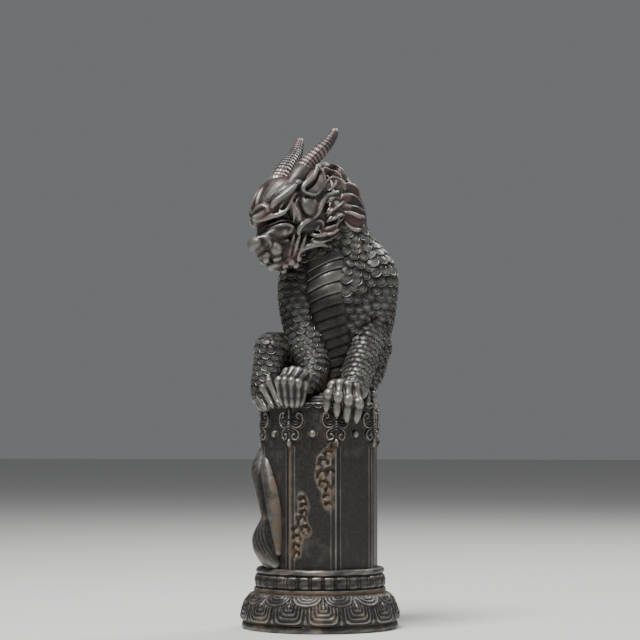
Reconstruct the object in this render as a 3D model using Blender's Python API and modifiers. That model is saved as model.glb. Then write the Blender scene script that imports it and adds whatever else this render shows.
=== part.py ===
"""A horned, scaled qilin seated on an eight-sided column with a lotus foot, cast in brass as one piece.

Metres, +Z up, origin at the centre of the underside. -Y is out of the column's front face.
The figure is laid out in axes of its own, x to its left, -y to its front and z up, and stands
turned on the column by FIGURE_TURN. The head has axes of its own too: x out of the muzzle,
y to its left and z up. Sizes in the tables are millimetres, and MM turns them into metres.
"""

import math

import bmesh
import bpy
from mathutils import Matrix, Vector

MM = 0.001

# Driving dimensions of the column.
FACES = 8
HALF_FACE_ANGLE = math.pi / FACES
COLUMN_RADIUS = 26.4  # out to the corners
APOTHEM = COLUMN_RADIUS * math.cos(HALF_FACE_ANGLE)
HALF_SIDE = COLUMN_RADIUS * math.sin(HALF_FACE_ANGLE)
COLUMN_FOOT_Z = 26.0
COLUMN_TOP_Z = 97.4
FACE_CROWN = 0.25  # the faces swell a little
RIB_HALF = 1.1  # the bead down each corner
GROOVE_HALF = 0.7
GROOVE_DEPTH = 0.9

# The foot: a turned core, petals that start above a plain rebate, and a band of flutes.
FOOT_LIFT_Z = 3.2
FOOT_STEPS = 28
FOOT_PROFILE = (
    (0, 26.6), (26.4, 26.6), (28.1, 25.8), (28.1, 24.5), (27.2, 23.8), (27.2, 18), (28.8, 17.6),
    (28.8, 15.9), (27.5, 14), (30, 4.6), (34.4, 3), (34.6, 1.3), (33.6, 0), (0, 0),
)
PETALS = 14
PETAL_START = math.radians(-78.5)
FLUTES = 32
FLUTE_RADIUS = 28.2
FLUTE_DEPTH = 0.5
FLUTE_ROWS = ((17.6, -1.1), (21, 0.6), (24, -1))  # heights, and how far each row swells or draws in

# The seat: a scalloped rim with a slope above it.
SEAT_Z = 104.6
SEAT_RADIUS = 15
RIM_LOBES = 32
RIM_SCALLOP = 0.45
RIM_ROWS = ((96.2, -1.6), (96.8, 0.5), (98.1, -1.2))
SLOPE_ROWS = ((96.5, -2.1), (100.8, 0.5), (SEAT_Z, 0))
SLOPE_SIDES = 24

# The ornament: half widths of a lappet down its height, a stud's size, and the casting flaws.
LAPPET = (
    (94.2, 2.2), (92.8, 5.1), (89.6, 5.4), (87.5, 2.6), (85.6, 4), (82.4, 2), (79.8, 1.5), (78, 0.4),
)
LAPPET_THICK = 1.0
BURIED = 0.8  # how deep an ornament's back lies in the column
STUD_RADIUS = 1.7
STUD_LENGTH = 3
STUD_Z = 84.8
# Each chain of casting flaws on the front face: x and z at its top, x and z at its bottom, count.
FLAW_CHAINS = (
    (5.5, 78.5, 4.5, 54, 8),
    (-6.5, 57, -9, 35, 8),
)
FLAW_RADIUS = 1.1

# How the figure and its head stand.
FIGURE_TURN = math.radians(9)
HEAD_CENTRE = Vector((-9.0, -8.0, 186.4))
HEAD_TURN = math.radians(-141.3)
HEAD_NOD = math.radians(28.7)
HEAD_TILT = math.radians(10.3)

# How the forms are made.
MERGE = 0.00001
DOME_TURN = math.radians(87)
LOCK_FLATNESS = 0.5
VOXEL = 0.6
KEPT_SHARE = 0.018  # of the melted figure's faces
FLAT_ANGLE = math.radians(1.5)
SHARP_ANGLE = math.radians(38)

LEFT = Vector((1, 0, 0))
FRONT = Vector((0, -1, 0))
UP = Vector((0, 0, 1))

# Rows of (x, y, z, half width, half depth) along each form, in the figure's axes.
TORSO = (
    (3, 9, 101, 18, 15),
    (4, 9, 110, 22, 17),
    (6, 8, 124, 20.5, 17),
    (7, 5, 138, 19, 17),
    (8, 3, 150, 20, 17.5),
    (9, 5, 160, 18, 15.5),
    (8, 5, 170, 14.5, 14),
    (5, 3, 181, 13.5, 13.5),
    (2, 1, 191, 11.5, 12),
)
NAPE = (
    (9, 7, 171, 11.5, 12),
    (9.5, 6, 178, 11.2, 11.5),
    (9, 6, 186, 10.2, 10.5),
    (6, 6, 194, 8.6, 9),
    (0, 4, 199.5, 7.6, 8),
)
BELLY = (
    (1, -6.5, 164, 8, 7.5),
    (2, -6.5, 158, 9.3, 8.5),
    (3, -7, 150, 9.5, 9),
    (4, -6.5, 140, 9.3, 8.5),
    (5, -5.5, 130, 8.8, 8),
    (6.5, -4.5, 120, 8, 7.5),
    (7.5, -4, 109, 7.5, 7.5),
)
BELLY_PLATES = 11
BELLY_RISE = 0.12  # the plates climb towards the beast's left
PLATE_LIP = 0.9  # how far each plate stands out over the next one down
LEFT_FORELEG = (
    (19, 6, 166, 8, 8),
    (23, 5, 156, 11, 13),
    (23.5, 5, 144, 10.5, 12),
    (23, 4, 132, 9, 9.5),
    (20, -4, 122, 7.5, 8),
    (17, -12, 113, 6.5, 7),
    (15, -18, 106, 6, 6),
)
RIGHT_FORELEG = (
    (-4, 2, 164, 7, 8),
    (-8.6, -2, 154.5, 8.8, 11),
    (-10.2, -4, 145, 8, 9.5),
    (-8.5, -7, 133, 7.5, 7.5),
    (-5, -10, 122, 7.2, 7),
    (-1.8, -13, 113, 6.8, 6.5),
    (-2, -15, 107, 6.4, 6),
)
RIGHT_THIGH = (
    (-6, 11, 111, 13, 14),
    (-15, 1, 119, 10, 10.5),
    (-21.3, -8, 122, 7.3, 7.6),
)
RIGHT_SHIN = (
    (-21.3, -9, 121.5, 7.2, 7.2),
    (-22.5, -9, 113, 6.8, 6.8),
    (-24, -9, 104, 6.2, 6.2),
    (-23, -9, 99, 5, 5),
)
LEFT_THIGH = (
    (13, 12, 112, 13, 14),
    (19, 7, 120, 12, 12),
    (22, 1, 123, 8.8, 10),
)
LEFT_SHIN = (
    (22, 1, 123, 8.6, 9),
    (21.5, -2, 114, 7.6, 8),
    (19, -4, 106, 6, 6),
    (18, -5, 101, 5, 5),
)
TAIL = (
    (-4, 18, 104, 6, 6),
    (-10, 24, 99, 5.5, 5.5),
    (-18, 20.5, 90, 5, 5),
    (-23, 13, 79, 4.8, 4.6),
    (-25.8, 2, 68, 4.7, 4.4),
    (-24.6, -6, 58, 4.3, 4),
    (-23.5, -11, 49, 3.6, 3.4),
)
TAIL_TUFT = (
    (-23.5, -11.5, 48, 3.4, 3.2),
    (-24.5, -11, 43, 5.6, 4.4),
    (-24.6, -11.5, 38, 6.2, 5),
    (-23.6, -13, 32.5, 5.8, 4.6),
    (-21.2, -15.5, 28, 4, 3.4),
    (-19.3, -17.5, 25, 1.2, 1.2),
)
# Each paw is its pad's centre and radii and its digits, each (knuckle, tip).
PAWS = (
    (
        (14, -20.5, 104), (8.5, 7.5, 5),
        (((6.6, -23, 105.8), (3.4, -28, 95)), ((10.6, -26, 104), (7.6, -29, 92.8)),
         ((14.9, -26, 103), (12.2, -29, 95.5)), ((18.6, -24, 100), (16.2, -27.5, 94.6))),
    ),
    (
        (-9.5, -20, 107), (8.5, 6.5, 5.5),
        (((-16.2, -22, 109.2), (-17.4, -26.5, 100)), ((-13, -23.5, 109.6), (-14.1, -28.5, 99)),
         ((-9.6, -24, 109), (-10.6, -29, 98.4)), ((-6, -23.5, 108), (-7.2, -28, 98))),
    ),
    (
        (-24.5, -10.5, 104), (6, 6.5, 5),
        (((-19.6, -17, 110), (-18, -24, 101.5)), ((-23.3, -15, 109.3), (-19.8, -23.5, 97.5)),
         ((-26.4, -12, 106.6), (-23, -20.5, 97)), ((-28.8, -7, 102.5), (-26.4, -15, 95.6))),
    ),
    (
        (17, -7, 102.5), (6, 6.5, 4),
        (((13, -11, 104), (13, -16, 101)), ((16, -11.5, 104), (16.5, -17, 100.5)),
         ((19, -10.5, 103.5), (20.5, -15.5, 99.5)), ((21, -7, 103), (23.5, -11, 99))),
    ),
)
DIGIT_RADIUS = 2.1
# Rows along the head's forms, in the head's axes.
SNOUT = (
    (8, 0, -5, 11, 9),
    (20, 0, -6, 8.6, 7.2),
    (26, 0, -6.6, 6.8, 5.8),
    (29, 0, -6.6, 5.8, 5),
)
JAW = (
    (2, 0, -12.5, 9, 5),
    (15, 0, -15.8, 7.5, 4),
    (25, 0, -16.2, 5.6, 3.2),
    (29, 0, -15.2, 4.2, 2.6),
)
BROW = (
    (18.6, 1.2, 5, 1.6, 2),
    (19.8, 5.4, 4.8, 2.6, 2.4),
    (16.6, 10.3, 3.9, 3, 2.4),
    (11, 13, 4.9, 2.5, 2.2),
    (4.6, 14, 7, 1.6, 1.8),
    (-1, 13.4, 10, 0.6, 0.8),
)
LIP = (
    (28.6, 3.6, -3.6, 1, 1),
    (26, 7, -8, 1.1, 1.1),
    (22.8, 8.6, -11.8, 1.2, 1.2),
    (18.5, 9.8, -11.2, 1.2, 1.2),
    (15.8, 10.8, -8.2, 1, 1),
)
RIBBON = (
    (16.5, 10.2, -8.8, 1.2, 1),
    (9.2, 12.6, -7.6, 1.3, 1.2),
    (3.1, 13.4, -7.1, 1.3, 1.2),
    (-0.7, 13.6, -4.3, 1.3, 1.2),
    (-4.9, 13, -2.7, 1.3, 1.2),
    (-10, 11.8, -3.6, 1.3, 1.2),
    (-18, 9, -2.6, 1, 1),
)
EAR = (
    (3.6, 12.6, 2.6, 2.4, 1.6),
    (0.8, 14.6, 5, 4.2, 2),
    (-3.6, 15.6, 8.2, 3.8, 1.8),
    (-9, 15.4, 12, 0.9, 0.8),
)
LEFT_HORN = (
    (-1, 7, 10, 4.4, 4.4),
    (-7, 7.6, 13.2, 4.1, 4),
    (-13, 8.2, 14.8, 3.6, 3.5),
    (-20.6, 9, 16.5, 2.9, 2.9),
    (-26, 9.6, 18.5, 2.3, 2.3),
    (-28.6, 9.9, 20, 1.8, 1.8),
)
RIGHT_HORN = (
    (-1, -7, 11, 4.8, 4.8),
    (-7, -8, 14, 4.5, 4.5),
    (-13, -9.5, 16.4, 4, 3.9),
    (-19, -11.2, 18.8, 3.3, 3.2),
    (-24, -12.4, 21.6, 2.5, 2.5),
    (-26.3, -12.9, 23.2, 1.9, 1.9),
)
HORN_RINGS = 9
HORN_RING_RISE = 0.09
# Rounded masses of the face, as (centre, radii, whether there is one on each side).
FACE_MASSES = (
    ((0, 0, 0), (19, 14.5, 13.5), False),
    ((6, 0, 4), (13, 12.5, 12.8), False),
    ((14.5, 0, 4.6), (9.6, 9.3, 8.2), False),
    ((31.6, 0, -5), (3.6, 4.8, 3.4), False),
    ((30.4, 3.8, -6.6), (2.9, 2.7, 2.7), True),
    ((31, 0, -10.4), (2.8, 5.2, 3.4), False),
    ((26.6, 5.4, -11.4), (2.8, 2.6, 3.4), True),
    ((19.6, 7, -0.8), (3.2, 3.4, 3.2), True),
    ((20.6, 8.4, -7.2), (3, 2.4, 2.8), True),
    ((12.9, 11.3, -1.8), (3, 3.4, 6.4), True),
    ((5.1, 13.2, -1.4), (4.3, 3, 5.6), True),
    ((28.5, 0, -17.6), (2.8, 3.2, 2), False),
)
# The mane's locks, each (points from root to tip, half width), in the head's axes.
LOCKS = (
    (((-16, 5, 6), (-21, 8, -0.5), (-27, 8.4, -7.6)), 3),
    (((-13, 8.4, -0.5), (-18, 10.8, -6), (-23.6, 10.2, -14.4)), 3),
    (((-9, 9.4, -4.8), (-14.5, 12, -10), (-22, 11, -18.6)), 3.2),
    (((3, 10.6, -10), (-3.2, 11.8, -11.6), (-10, 12.2, -13.2)), 2.8),
    (((-9, 9.4, -15.4), (-15, 10.6, -19.3), (-21.4, 9, -23)), 3.3),
    (((9.7, 8.4, -11), (5.5, 9.2, -16), (1, 9.8, -18.4), (-4.6, 10, -17.6)), 2.2),
    (((-6, 11.4, -2), (-11, 12.6, 1), (-16, 12.2, 4)), 2),
)
NAPE_LOCKS = 5


def smooth_rows(rows, steps):
    """Rows along a Catmull-Rom curve through the given rows, steps to each stretch."""
    ends = [rows[0], *rows, rows[-1]]
    made = []
    for a, b, c, d in zip(ends, ends[1:], ends[2:], ends[3:]):
        for step in range(steps):
            t = step / steps
            made.append([
                0.5 * (2 * q + (r - p) * t + (2 * p - 5 * q + 4 * r - s) * t * t
                       + (3 * q - p - 3 * r + s) * t**3)
                for p, q, r, s in zip(a, b, c, d)
            ])
    made.append(list(rows[-1]))
    return made


def rounded_rows(rows, end_steps=2):
    """The rows with a dome added at each end."""
    def dome(end, inner):
        along = (Vector(end[:3]) - Vector(inner[:3])).normalized()
        reach = 0.5 * (end[3] + end[4])
        for step in range(1, end_steps + 1):
            angle = DOME_TURN * step / end_steps
            point = Vector(end[:3]) + along * reach * math.sin(angle)
            yield [*point, end[3] * math.cos(angle), end[4] * math.cos(angle)]

    return [*reversed(list(dome(rows[0], rows[1]))), *rows, *dome(rows[-1], rows[-2])]


def station_frames(rows, side):
    """A matrix for each row that puts a unit circle square to the run of the rows."""
    frames = []
    for index, row in enumerate(rows):
        before = Vector(rows[max(index - 1, 0)][:3])
        after = Vector(rows[min(index + 1, len(rows) - 1)][:3])
        along = (after - before).normalized()
        depth = along.cross(side).normalized()
        width = depth.cross(along)
        axes = Matrix((width * row[3] * MM, depth * row[4] * MM, along * MM))
        frames.append(Matrix.Translation(Vector(row[:3]) * MM) @ axes.transposed().to_4x4())
    return frames


def sweep(bm, rows, sides, side=LEFT):
    """A closed tube through the rows: a disc drawn out from station to station."""
    frames = station_frames(rows, side)
    disc = bmesh.ops.create_circle(bm, cap_ends=True, segments=sides, radius=1, matrix=frames[0])
    tip = disc["verts"][0].link_faces[0]
    foot = tip.copy(verts=False, edges=False)
    foot.normal_flip()
    for before, after in zip(frames, frames[1:]):
        tip = bmesh.ops.extrude_discrete_faces(bm, faces=[tip])["faces"][0]
        bmesh.ops.transform(bm, matrix=after @ before.inverted(), verts=tip.verts)


def ball(bm, centre, radii):
    """An ellipsoid."""
    matrix = Matrix.Translation(Vector(centre) * MM) @ Matrix.Diagonal((*(Vector(radii) * MM), 1))
    bmesh.ops.create_uvsphere(bm, u_segments=16, v_segments=10, radius=1, matrix=matrix)


def mirrored(rows):
    """The rows on the other side of the head."""
    return [(row[0], -row[1], *row[2:]) for row in rows]


def collection(name, shown):
    made = bpy.data.collections.new(name)
    made.hide_render = not shown
    bpy.context.scene.collection.children.link(made)
    return made


def place(name, bm, group, matrix=None, rounded=False):
    """Makes a hidden object of closed forms, in triangles that are turned out."""
    if matrix is not None:
        bmesh.ops.transform(bm, matrix=matrix, verts=bm.verts)
    bmesh.ops.triangulate(bm, faces=bm.faces)
    bmesh.ops.recalc_face_normals(bm, faces=bm.faces)
    mesh = bpy.data.meshes.new(name)
    bm.to_mesh(mesh)
    bm.free()
    if rounded:
        mesh.shade_smooth()
        mesh.set_sharp_from_angle(angle=SHARP_ANGLE)
    made = bpy.data.objects.new(name, mesh)
    made.hide_render = True
    made.display_type = "WIRE"
    group.objects.link(made)
    return made


def head_matrix():
    """From the head's axes to the figure's."""
    turned = (
        Matrix.Rotation(HEAD_TURN, 4, "Z")
        @ Matrix.Rotation(HEAD_NOD, 4, "Y")
        @ Matrix.Rotation(HEAD_TILT, 4, "X")
    )
    return Matrix.Translation(HEAD_CENTRE * MM) @ turned


def form(bm, rows, sides=16, side=LEFT):
    """One smooth swept form with domed ends."""
    sweep(bm, rounded_rows(smooth_rows(rows, 3), 4), sides, side)


def belly(bm):
    """Plates down the chest, each with its lower edge lapped over the next."""
    run = smooth_rows(BELLY, 16)
    rows = []
    for plate in range(BELLY_PLATES):
        for share, rise in ((0.0, 0.0), (0.5, 0.45 * PLATE_LIP), (0.92, PLATE_LIP)):
            x, y, z, wide, deep = run[round((plate + share) / BELLY_PLATES * (len(run) - 1))]
            rows.append((x, y, z, wide + rise, deep + rise))
    first = len(bm.verts)
    sweep(bm, rows, 24)
    bm.verts.ensure_lookup_table()
    for vert in bm.verts[first:]:
        vert.co.z += BELLY_RISE * (vert.co.x - BELLY[3][0] * MM)


def paw(bm, centre, radii, digits):
    """A rounded pad with four long digits laid over the rim of the seat."""
    ball(bm, centre, radii)
    for knuckle, tip in digits:
        root = Vector(knuckle).lerp(Vector(centre), 0.45)
        middle = Vector(knuckle).lerp(Vector(tip), 0.45) + DIGIT_RADIUS * 0.4 * FRONT
        rows = (
            (*root, DIGIT_RADIUS, DIGIT_RADIUS),
            (*knuckle, DIGIT_RADIUS * 1.12, DIGIT_RADIUS * 1.12),
            (*middle, DIGIT_RADIUS * 0.95, DIGIT_RADIUS * 0.95),
            (*tip, DIGIT_RADIUS * 0.75, DIGIT_RADIUS * 0.75),
        )
        form(bm, rows, 10)


def body(bm):
    for rows in (TORSO, NAPE, LEFT_FORELEG, RIGHT_FORELEG, RIGHT_SHIN, LEFT_SHIN, TAIL, TAIL_TUFT):
        form(bm, rows)
    form(bm, RIGHT_THIGH, side=UP)
    form(bm, LEFT_THIGH, side=UP)
    belly(bm)
    for centre, radii, digits in PAWS:
        paw(bm, centre, radii, digits)


def lock(bm, points, half_width, outward):
    """One leaf-shaped lock of the mane, flat against what it lies on."""
    run = smooth_rows([(*point, 0, 0) for point in points], 4)
    side = (Vector(points[-1]) - Vector(points[0])).cross(outward)
    rows = []
    for index, row in enumerate(run):
        swell = math.sin(math.pi * (0.3 + 0.66 * index / (len(run) - 1)))
        rows.append((*row[:3], half_width * swell, half_width * LOCK_FLATNESS * swell))
    sweep(bm, rows, 8, side)


def horn(bm, rows):
    """A horn whose rings swell and narrow all the way to its tip."""
    run = smooth_rows(rows, 16)
    picked = []
    for quarter in range(4 * HORN_RINGS + 1):
        x, y, z, wide, deep = run[round(quarter / (4 * HORN_RINGS) * (len(run) - 1))]
        swell = 1 + HORN_RING_RISE * math.sin(math.pi / 2 * quarter)
        picked.append((x, y, z, wide * swell, deep * swell))
    sweep(bm, rounded_rows(picked, 3), 12, FRONT)


def head(bm):
    for (x, y, z), radii, paired in FACE_MASSES:
        for hand in (1, -1) if paired else (1,):
            ball(bm, (x, hand * y, z), radii)
    form(bm, SNOUT, side=FRONT)
    form(bm, JAW, side=FRONT)
    for rows_of in (list, mirrored):
        for rows in (BROW, LIP, RIBBON):
            form(bm, rows_of(rows), 10, UP)
        form(bm, rows_of(EAR), 10, FRONT)
    horn(bm, LEFT_HORN)
    horn(bm, RIGHT_HORN)
    for points, half_width in LOCKS:
        lock(bm, points, half_width, -FRONT)
        lock(bm, mirrored(points), half_width, FRONT)


def nape_locks(bm):
    """A fan of locks down the back of the neck."""
    for number in range(NAPE_LOCKS):
        turn = math.radians(25 + 130 * number / (NAPE_LOCKS - 1))
        outward = Vector((math.cos(turn), math.sin(turn), 0))
        points = []
        for x, y, z, wide, deep in reversed(NAPE[:-1]):
            points.append((x + outward.x * wide, y + outward.y * deep, z))
        points[-1] = tuple(Vector(points[-1]) + 1.5 * outward)
        lock(bm, points, 4, outward)


def figure(group):
    """The beast, all its forms melted together and kept to the faces that its shape needs."""
    bm = bmesh.new()
    head(bm)
    bmesh.ops.transform(bm, matrix=head_matrix(), verts=bm.verts)
    body(bm)
    nape_locks(bm)
    made = place("figure", bm, group, Matrix.Rotation(FIGURE_TURN, 4, "Z"), rounded=True)
    melt = made.modifiers.new("Melt", "REMESH")
    melt.mode = "VOXEL"
    melt.voxel_size = VOXEL * MM
    melt.use_smooth_shade = True
    soften = made.modifiers.new("Soften", "SMOOTH")
    soften.factor = 0.5
    soften.iterations = 3
    thin = made.modifiers.new("Thin", "DECIMATE")
    thin.ratio = KEPT_SHARE


def turned(name, profile, steps, group):
    """A turned solid from a profile of (radius, height), run from its top down its outer side."""
    mesh = bpy.data.meshes.new(name)
    bm = bmesh.new()
    points = [bm.verts.new((radius * MM, 0, height * MM)) for radius, height in profile]
    for above, below in zip(points, points[1:]):
        bm.edges.new((above, below))
    bm.to_mesh(mesh)
    bm.free()
    made = bpy.data.objects.new(name, mesh)
    group.objects.link(made)
    screw = made.modifiers.new("Screw", "SCREW")
    screw.steps = steps
    screw.render_steps = steps
    screw.use_merge_vertices = True
    screw.merge_threshold = MERGE
    return made


def ring_of(name, rows, sides, radius_at, group):
    """A prism about the centre line, whose outline at each height is a function of the azimuth."""
    bm = bmesh.new()
    heights = [height for height, _ in rows]
    disc = bmesh.ops.create_circle(
        bm, cap_ends=True, segments=sides, radius=1, matrix=Matrix.Translation((0, 0, heights[0]))
    )
    tip = disc["verts"][0].link_faces[0]
    tip.copy(verts=False, edges=False).normal_flip()
    for before, after in zip(heights, heights[1:]):
        tip = bmesh.ops.extrude_discrete_faces(bm, faces=[tip])["faces"][0]
        bmesh.ops.translate(bm, vec=(0, 0, after - before), verts=tip.verts)
    scale_at = dict(rows)
    for vert in bm.verts:
        height = min(heights, key=lambda level: abs(level - vert.co.z))
        azimuth = math.atan2(vert.co.y, vert.co.x)
        radius = radius_at(azimuth, height) + scale_at[height]
        vert.co = Vector((math.cos(azimuth) * radius, math.sin(azimuth) * radius, height)) * MM
    place(name, bm, group, rounded=True)


def octagon_radius(azimuth, corner_radius):
    """How far out an eight-sided outline lies, with a corner every 45 degrees from 22.5."""
    offset = (azimuth + HALF_FACE_ANGLE) % (2 * HALF_FACE_ANGLE) - HALF_FACE_ANGLE
    return corner_radius * math.cos(HALF_FACE_ANGLE) / math.cos(offset)


def foot(group):
    """The turned core of the foot, which the petals and flutes stand out from."""
    return turned("qilin_statue", FOOT_PROFILE, FOOT_STEPS, group)


def flutes(group):
    """The bulging band of upright lobes under the column's torus."""
    def radius_at(azimuth, height):
        return FLUTE_RADIUS - FLUTE_DEPTH * math.cos(FLUTES * azimuth)

    ring_of("flutes", FLUTE_ROWS, 2 * FLUTES, radius_at, group)


def lotus_point(azimuth, tier):
    """Radius and height on the petals, for a tier of points counted up from the rebate.

    The upright petals are centred where share is 0, and the half petals hang lowest where it is 1.
    """
    pitch = 2 * math.pi / PETALS
    share = abs((azimuth - PETAL_START + pitch / 2) % pitch - pitch / 2) / (pitch / 2)
    gap = share > 0.95
    edge = 0.75 < share < 0.95
    sag = 3 * (1 - share) ** 2
    tiers = (
        (32.6, FOOT_LIFT_Z),
        (33.2 if gap else 34.5 if edge else 35.2, 4.6 if gap else 4.3 if edge else 3.7),
        (33 if gap else 35.3 if edge else 34.3, 5.6),
        (32.4 if gap else 34.6 if edge else 33.7, 9.2),
        (31.8, 10.8 + sag),
        (32.8 - 0.6 * sag, 10.9 + sag),
        (31.2 if gap else 31.4 - 0.3 * sag, 12.9 + 0.6 * sag),
        (29.2, 15.4),
    )
    return tiers[tier]


def petals(group):
    """A ring of upright petals with raised rims, under half petals hung over the joints between."""
    columns = (-1, -0.84, -0.42, 0.42, 0.84)
    pitch = 2 * math.pi / PETALS
    azimuths = [PETAL_START + (n + 0.5 * column) * pitch for n in range(PETALS) for column in columns]
    bm = bmesh.new()
    disc = bmesh.ops.create_circle(bm, cap_ends=True, segments=len(azimuths), radius=1)["verts"]
    tip = disc[0].link_faces[0]
    rings = [list(tip.verts)]
    tip.copy(verts=False, edges=False).normal_flip()
    for tier in range(1, 8):
        tip = bmesh.ops.extrude_discrete_faces(bm, faces=[tip])["faces"][0]
        rings.append(list(tip.verts))
    for tier, ring in enumerate(rings):
        for vert, azimuth in zip(ring, azimuths):
            out, level = lotus_point(azimuth, tier)
            vert.co = Vector((math.cos(azimuth) * out, math.sin(azimuth) * out, level)) * MM
    place("petals", bm, group, rounded=True)


def column(group):
    """The eight-sided shaft, with a bead between two grooves down each corner."""
    bead = HALF_SIDE - RIB_HALF
    groove = bead - GROOVE_HALF
    flat = groove - GROOVE_HALF
    across_and_depth = (
        (-HALF_SIDE, -FACE_CROWN), (-bead, 0), (-groove, GROOVE_DEPTH), (-flat, 0),
        (0, -FACE_CROWN), (flat, 0), (groove, GROOVE_DEPTH), (bead, 0),
    )
    bm = bmesh.new()
    outline = []
    for face in range(FACES):
        turn = Matrix.Rotation(face * 2 * HALF_FACE_ANGLE, 4, "Z")
        for across, depth in across_and_depth:
            outline.append(bm.verts.new(turn @ (Vector((APOTHEM - depth, across, COLUMN_FOOT_Z)) * MM)))
    shaft = bm.faces.new(outline)
    shaft.copy(verts=False, edges=False).normal_flip()
    top = bmesh.ops.extrude_discrete_faces(bm, faces=[shaft])["faces"][0]
    bmesh.ops.translate(bm, vec=(0, 0, (COLUMN_TOP_Z - COLUMN_FOOT_Z) * MM), verts=top.verts)
    place("column", bm, group)


def seat(group):
    """The scalloped rim at the head of the column and the slope up to the seat."""
    def rim(azimuth, height):
        return octagon_radius(azimuth, COLUMN_RADIUS) - RIM_SCALLOP * math.cos(RIM_LOBES * azimuth)

    ring_of("rim", RIM_ROWS, 2 * RIM_LOBES, rim, group)

    def slope(azimuth, height):
        share = (height - COLUMN_TOP_Z) / (SEAT_Z - COLUMN_TOP_Z)
        return (1 - share) * octagon_radius(azimuth, COLUMN_RADIUS) + share * SEAT_RADIUS

    ring_of("seat", SLOPE_ROWS, SLOPE_SIDES, slope, group)


def lappets(group):
    """A cloud-headed lappet bent over each corner, in two tiers with a drop below."""
    for corner in range(FACES):
        azimuth = (2 * corner + 1) * HALF_FACE_ANGLE
        outward = Vector((math.cos(azimuth), math.sin(azimuth), 0))
        bm = bmesh.new()
        grid = []
        for height, half_width in LAPPET:
            row = [Vector((outward.x * COLUMN_RADIUS, outward.y * COLUMN_RADIUS, height))]
            for hand in (-1, 1):
                turn = Matrix.Rotation(azimuth + hand * HALF_FACE_ANGLE, 4, "Z")
                row.insert(1 + hand, turn @ Vector((APOTHEM, hand * (half_width - HALF_SIDE), height)))
            grid.append([bm.verts.new(point * MM) for point in row])
        for above, below in zip(grid, grid[1:]):
            for side in (0, 1):
                bm.faces.new((above[side], below[side], below[side + 1], above[side + 1]))
        bmesh.ops.translate(bm, vec=-BURIED * MM * outward, verts=bm.verts)
        shell = bmesh.ops.extrude_face_region(bm, geom=bm.faces[:], use_keep_orig=True)["geom"]
        drawn = [element for element in shell if isinstance(element, bmesh.types.BMVert)]
        bmesh.ops.translate(bm, vec=(BURIED + LAPPET_THICK) * MM * outward, verts=drawn)
        place(f"lappet_{corner}", bm, group)


def studs(group):
    """A round stud on each face, level with the lappets' lower tier."""
    for face in range(FACES):
        bm = bmesh.new()
        bmesh.ops.create_cone(
            bm, cap_ends=True, segments=8, radius1=STUD_RADIUS * MM, radius2=0.5 * STUD_RADIUS * MM,
            depth=STUD_LENGTH * MM, matrix=Matrix.Rotation(math.pi / 2, 4, "Y"),
        )
        bmesh.ops.translate(bm, vec=Vector((APOTHEM - 0.1 * STUD_LENGTH, 0, STUD_Z)) * MM, verts=bm.verts)
        place(f"stud_{face}", bm, group, Matrix.Rotation(face * 2 * HALF_FACE_ANGLE, 4, "Z"))


def casting_flaws(group):
    """Two ragged chains of nodules left on the front face."""
    for chain, (x_start, z_start, x_end, z_end, count) in enumerate(FLAW_CHAINS):
        for number in range(count):
            share = number / (count - 1)
            across = x_start + share * (x_end - x_start) + 1.3 * math.sin(2.4 * number + chain)
            height = z_start + share * (z_end - z_start)
            size = FLAW_RADIUS * (1 + 0.3 * math.sin(1.7 * number + 0.6))
            bm = bmesh.new()
            matrix = Matrix.Translation(Vector((across, 0.1 - APOTHEM, height)) * MM)
            matrix @= Matrix.Diagonal((*(Vector((1.1 * size, 0.9, size)) * MM), 1))
            bmesh.ops.create_icosphere(bm, subdivisions=1, radius=1, matrix=matrix)
            place(f"nodule_{chain}_{number}", bm, group, rounded=True)


def cast_metal():
    brass = bpy.data.materials.new("patinated_brass")
    brass.use_nodes = True
    shader = brass.node_tree.nodes["Principled BSDF"]
    shader.inputs["Base Color"].default_value = (0.13, 0.105, 0.085, 1)
    shader.inputs["Metallic"].default_value = 0.85
    shader.inputs["Roughness"].default_value = 0.42
    return brass


def fuse(statue, group):
    """Joins every form of the casting to its foot, as one solid."""
    union = statue.modifiers.new("Casting", "BOOLEAN")
    union.operation = "UNION"
    union.operand_type = "COLLECTION"
    union.collection = group
    flat = statue.modifiers.new("Flat faces", "DECIMATE")
    flat.decimate_type = "DISSOLVE"
    flat.angle_limit = FLAT_ANGLE


def clear_scene():
    for old in list(bpy.data.objects):
        bpy.data.objects.remove(old)


def main():
    clear_scene()
    forms = collection("forms", False)
    statue_parts = collection("qilin_statue", True)
    statue = foot(statue_parts)
    statue.data.materials.append(cast_metal())
    flutes(forms)
    petals(forms)
    column(forms)
    seat(forms)
    lappets(forms)
    studs(forms)
    casting_flaws(forms)
    figure(forms)
    fuse(statue, forms)


main()
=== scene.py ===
"""A brass qilin seated on an eight-sided column: the cast and patinated surface of the whole statue.

Metres, +Z up, with the origin at the centre of the underside. The beast is laid out in axes of its
own, x to its left, -y to its front and z up, and stands turned on the column. Its head has axes too:
x out of the muzzle, y to its left and z up. The tables hold millimetres.
"""

import math

import bmesh
import bpy
import numpy as np
from mathutils import Matrix, Vector
from mathutils.bvhtree import BVHTree


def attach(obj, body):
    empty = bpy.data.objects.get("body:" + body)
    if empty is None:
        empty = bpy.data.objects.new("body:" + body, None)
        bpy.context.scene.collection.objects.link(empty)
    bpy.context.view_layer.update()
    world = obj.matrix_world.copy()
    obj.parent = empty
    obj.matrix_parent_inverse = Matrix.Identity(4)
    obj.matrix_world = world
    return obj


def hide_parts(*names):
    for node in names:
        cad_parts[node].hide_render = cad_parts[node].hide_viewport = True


bl_info = {
    "name": "Brass Qilin Statue",
    "version": (1, 0, 0),
    "blender": (4, 5, 0),
    "location": "3D View > Sidebar > Qilin",
    "description": "Models a cast brass qilin, its eight-sided column and its lotus foot",
    "category": "Object",
}

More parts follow.
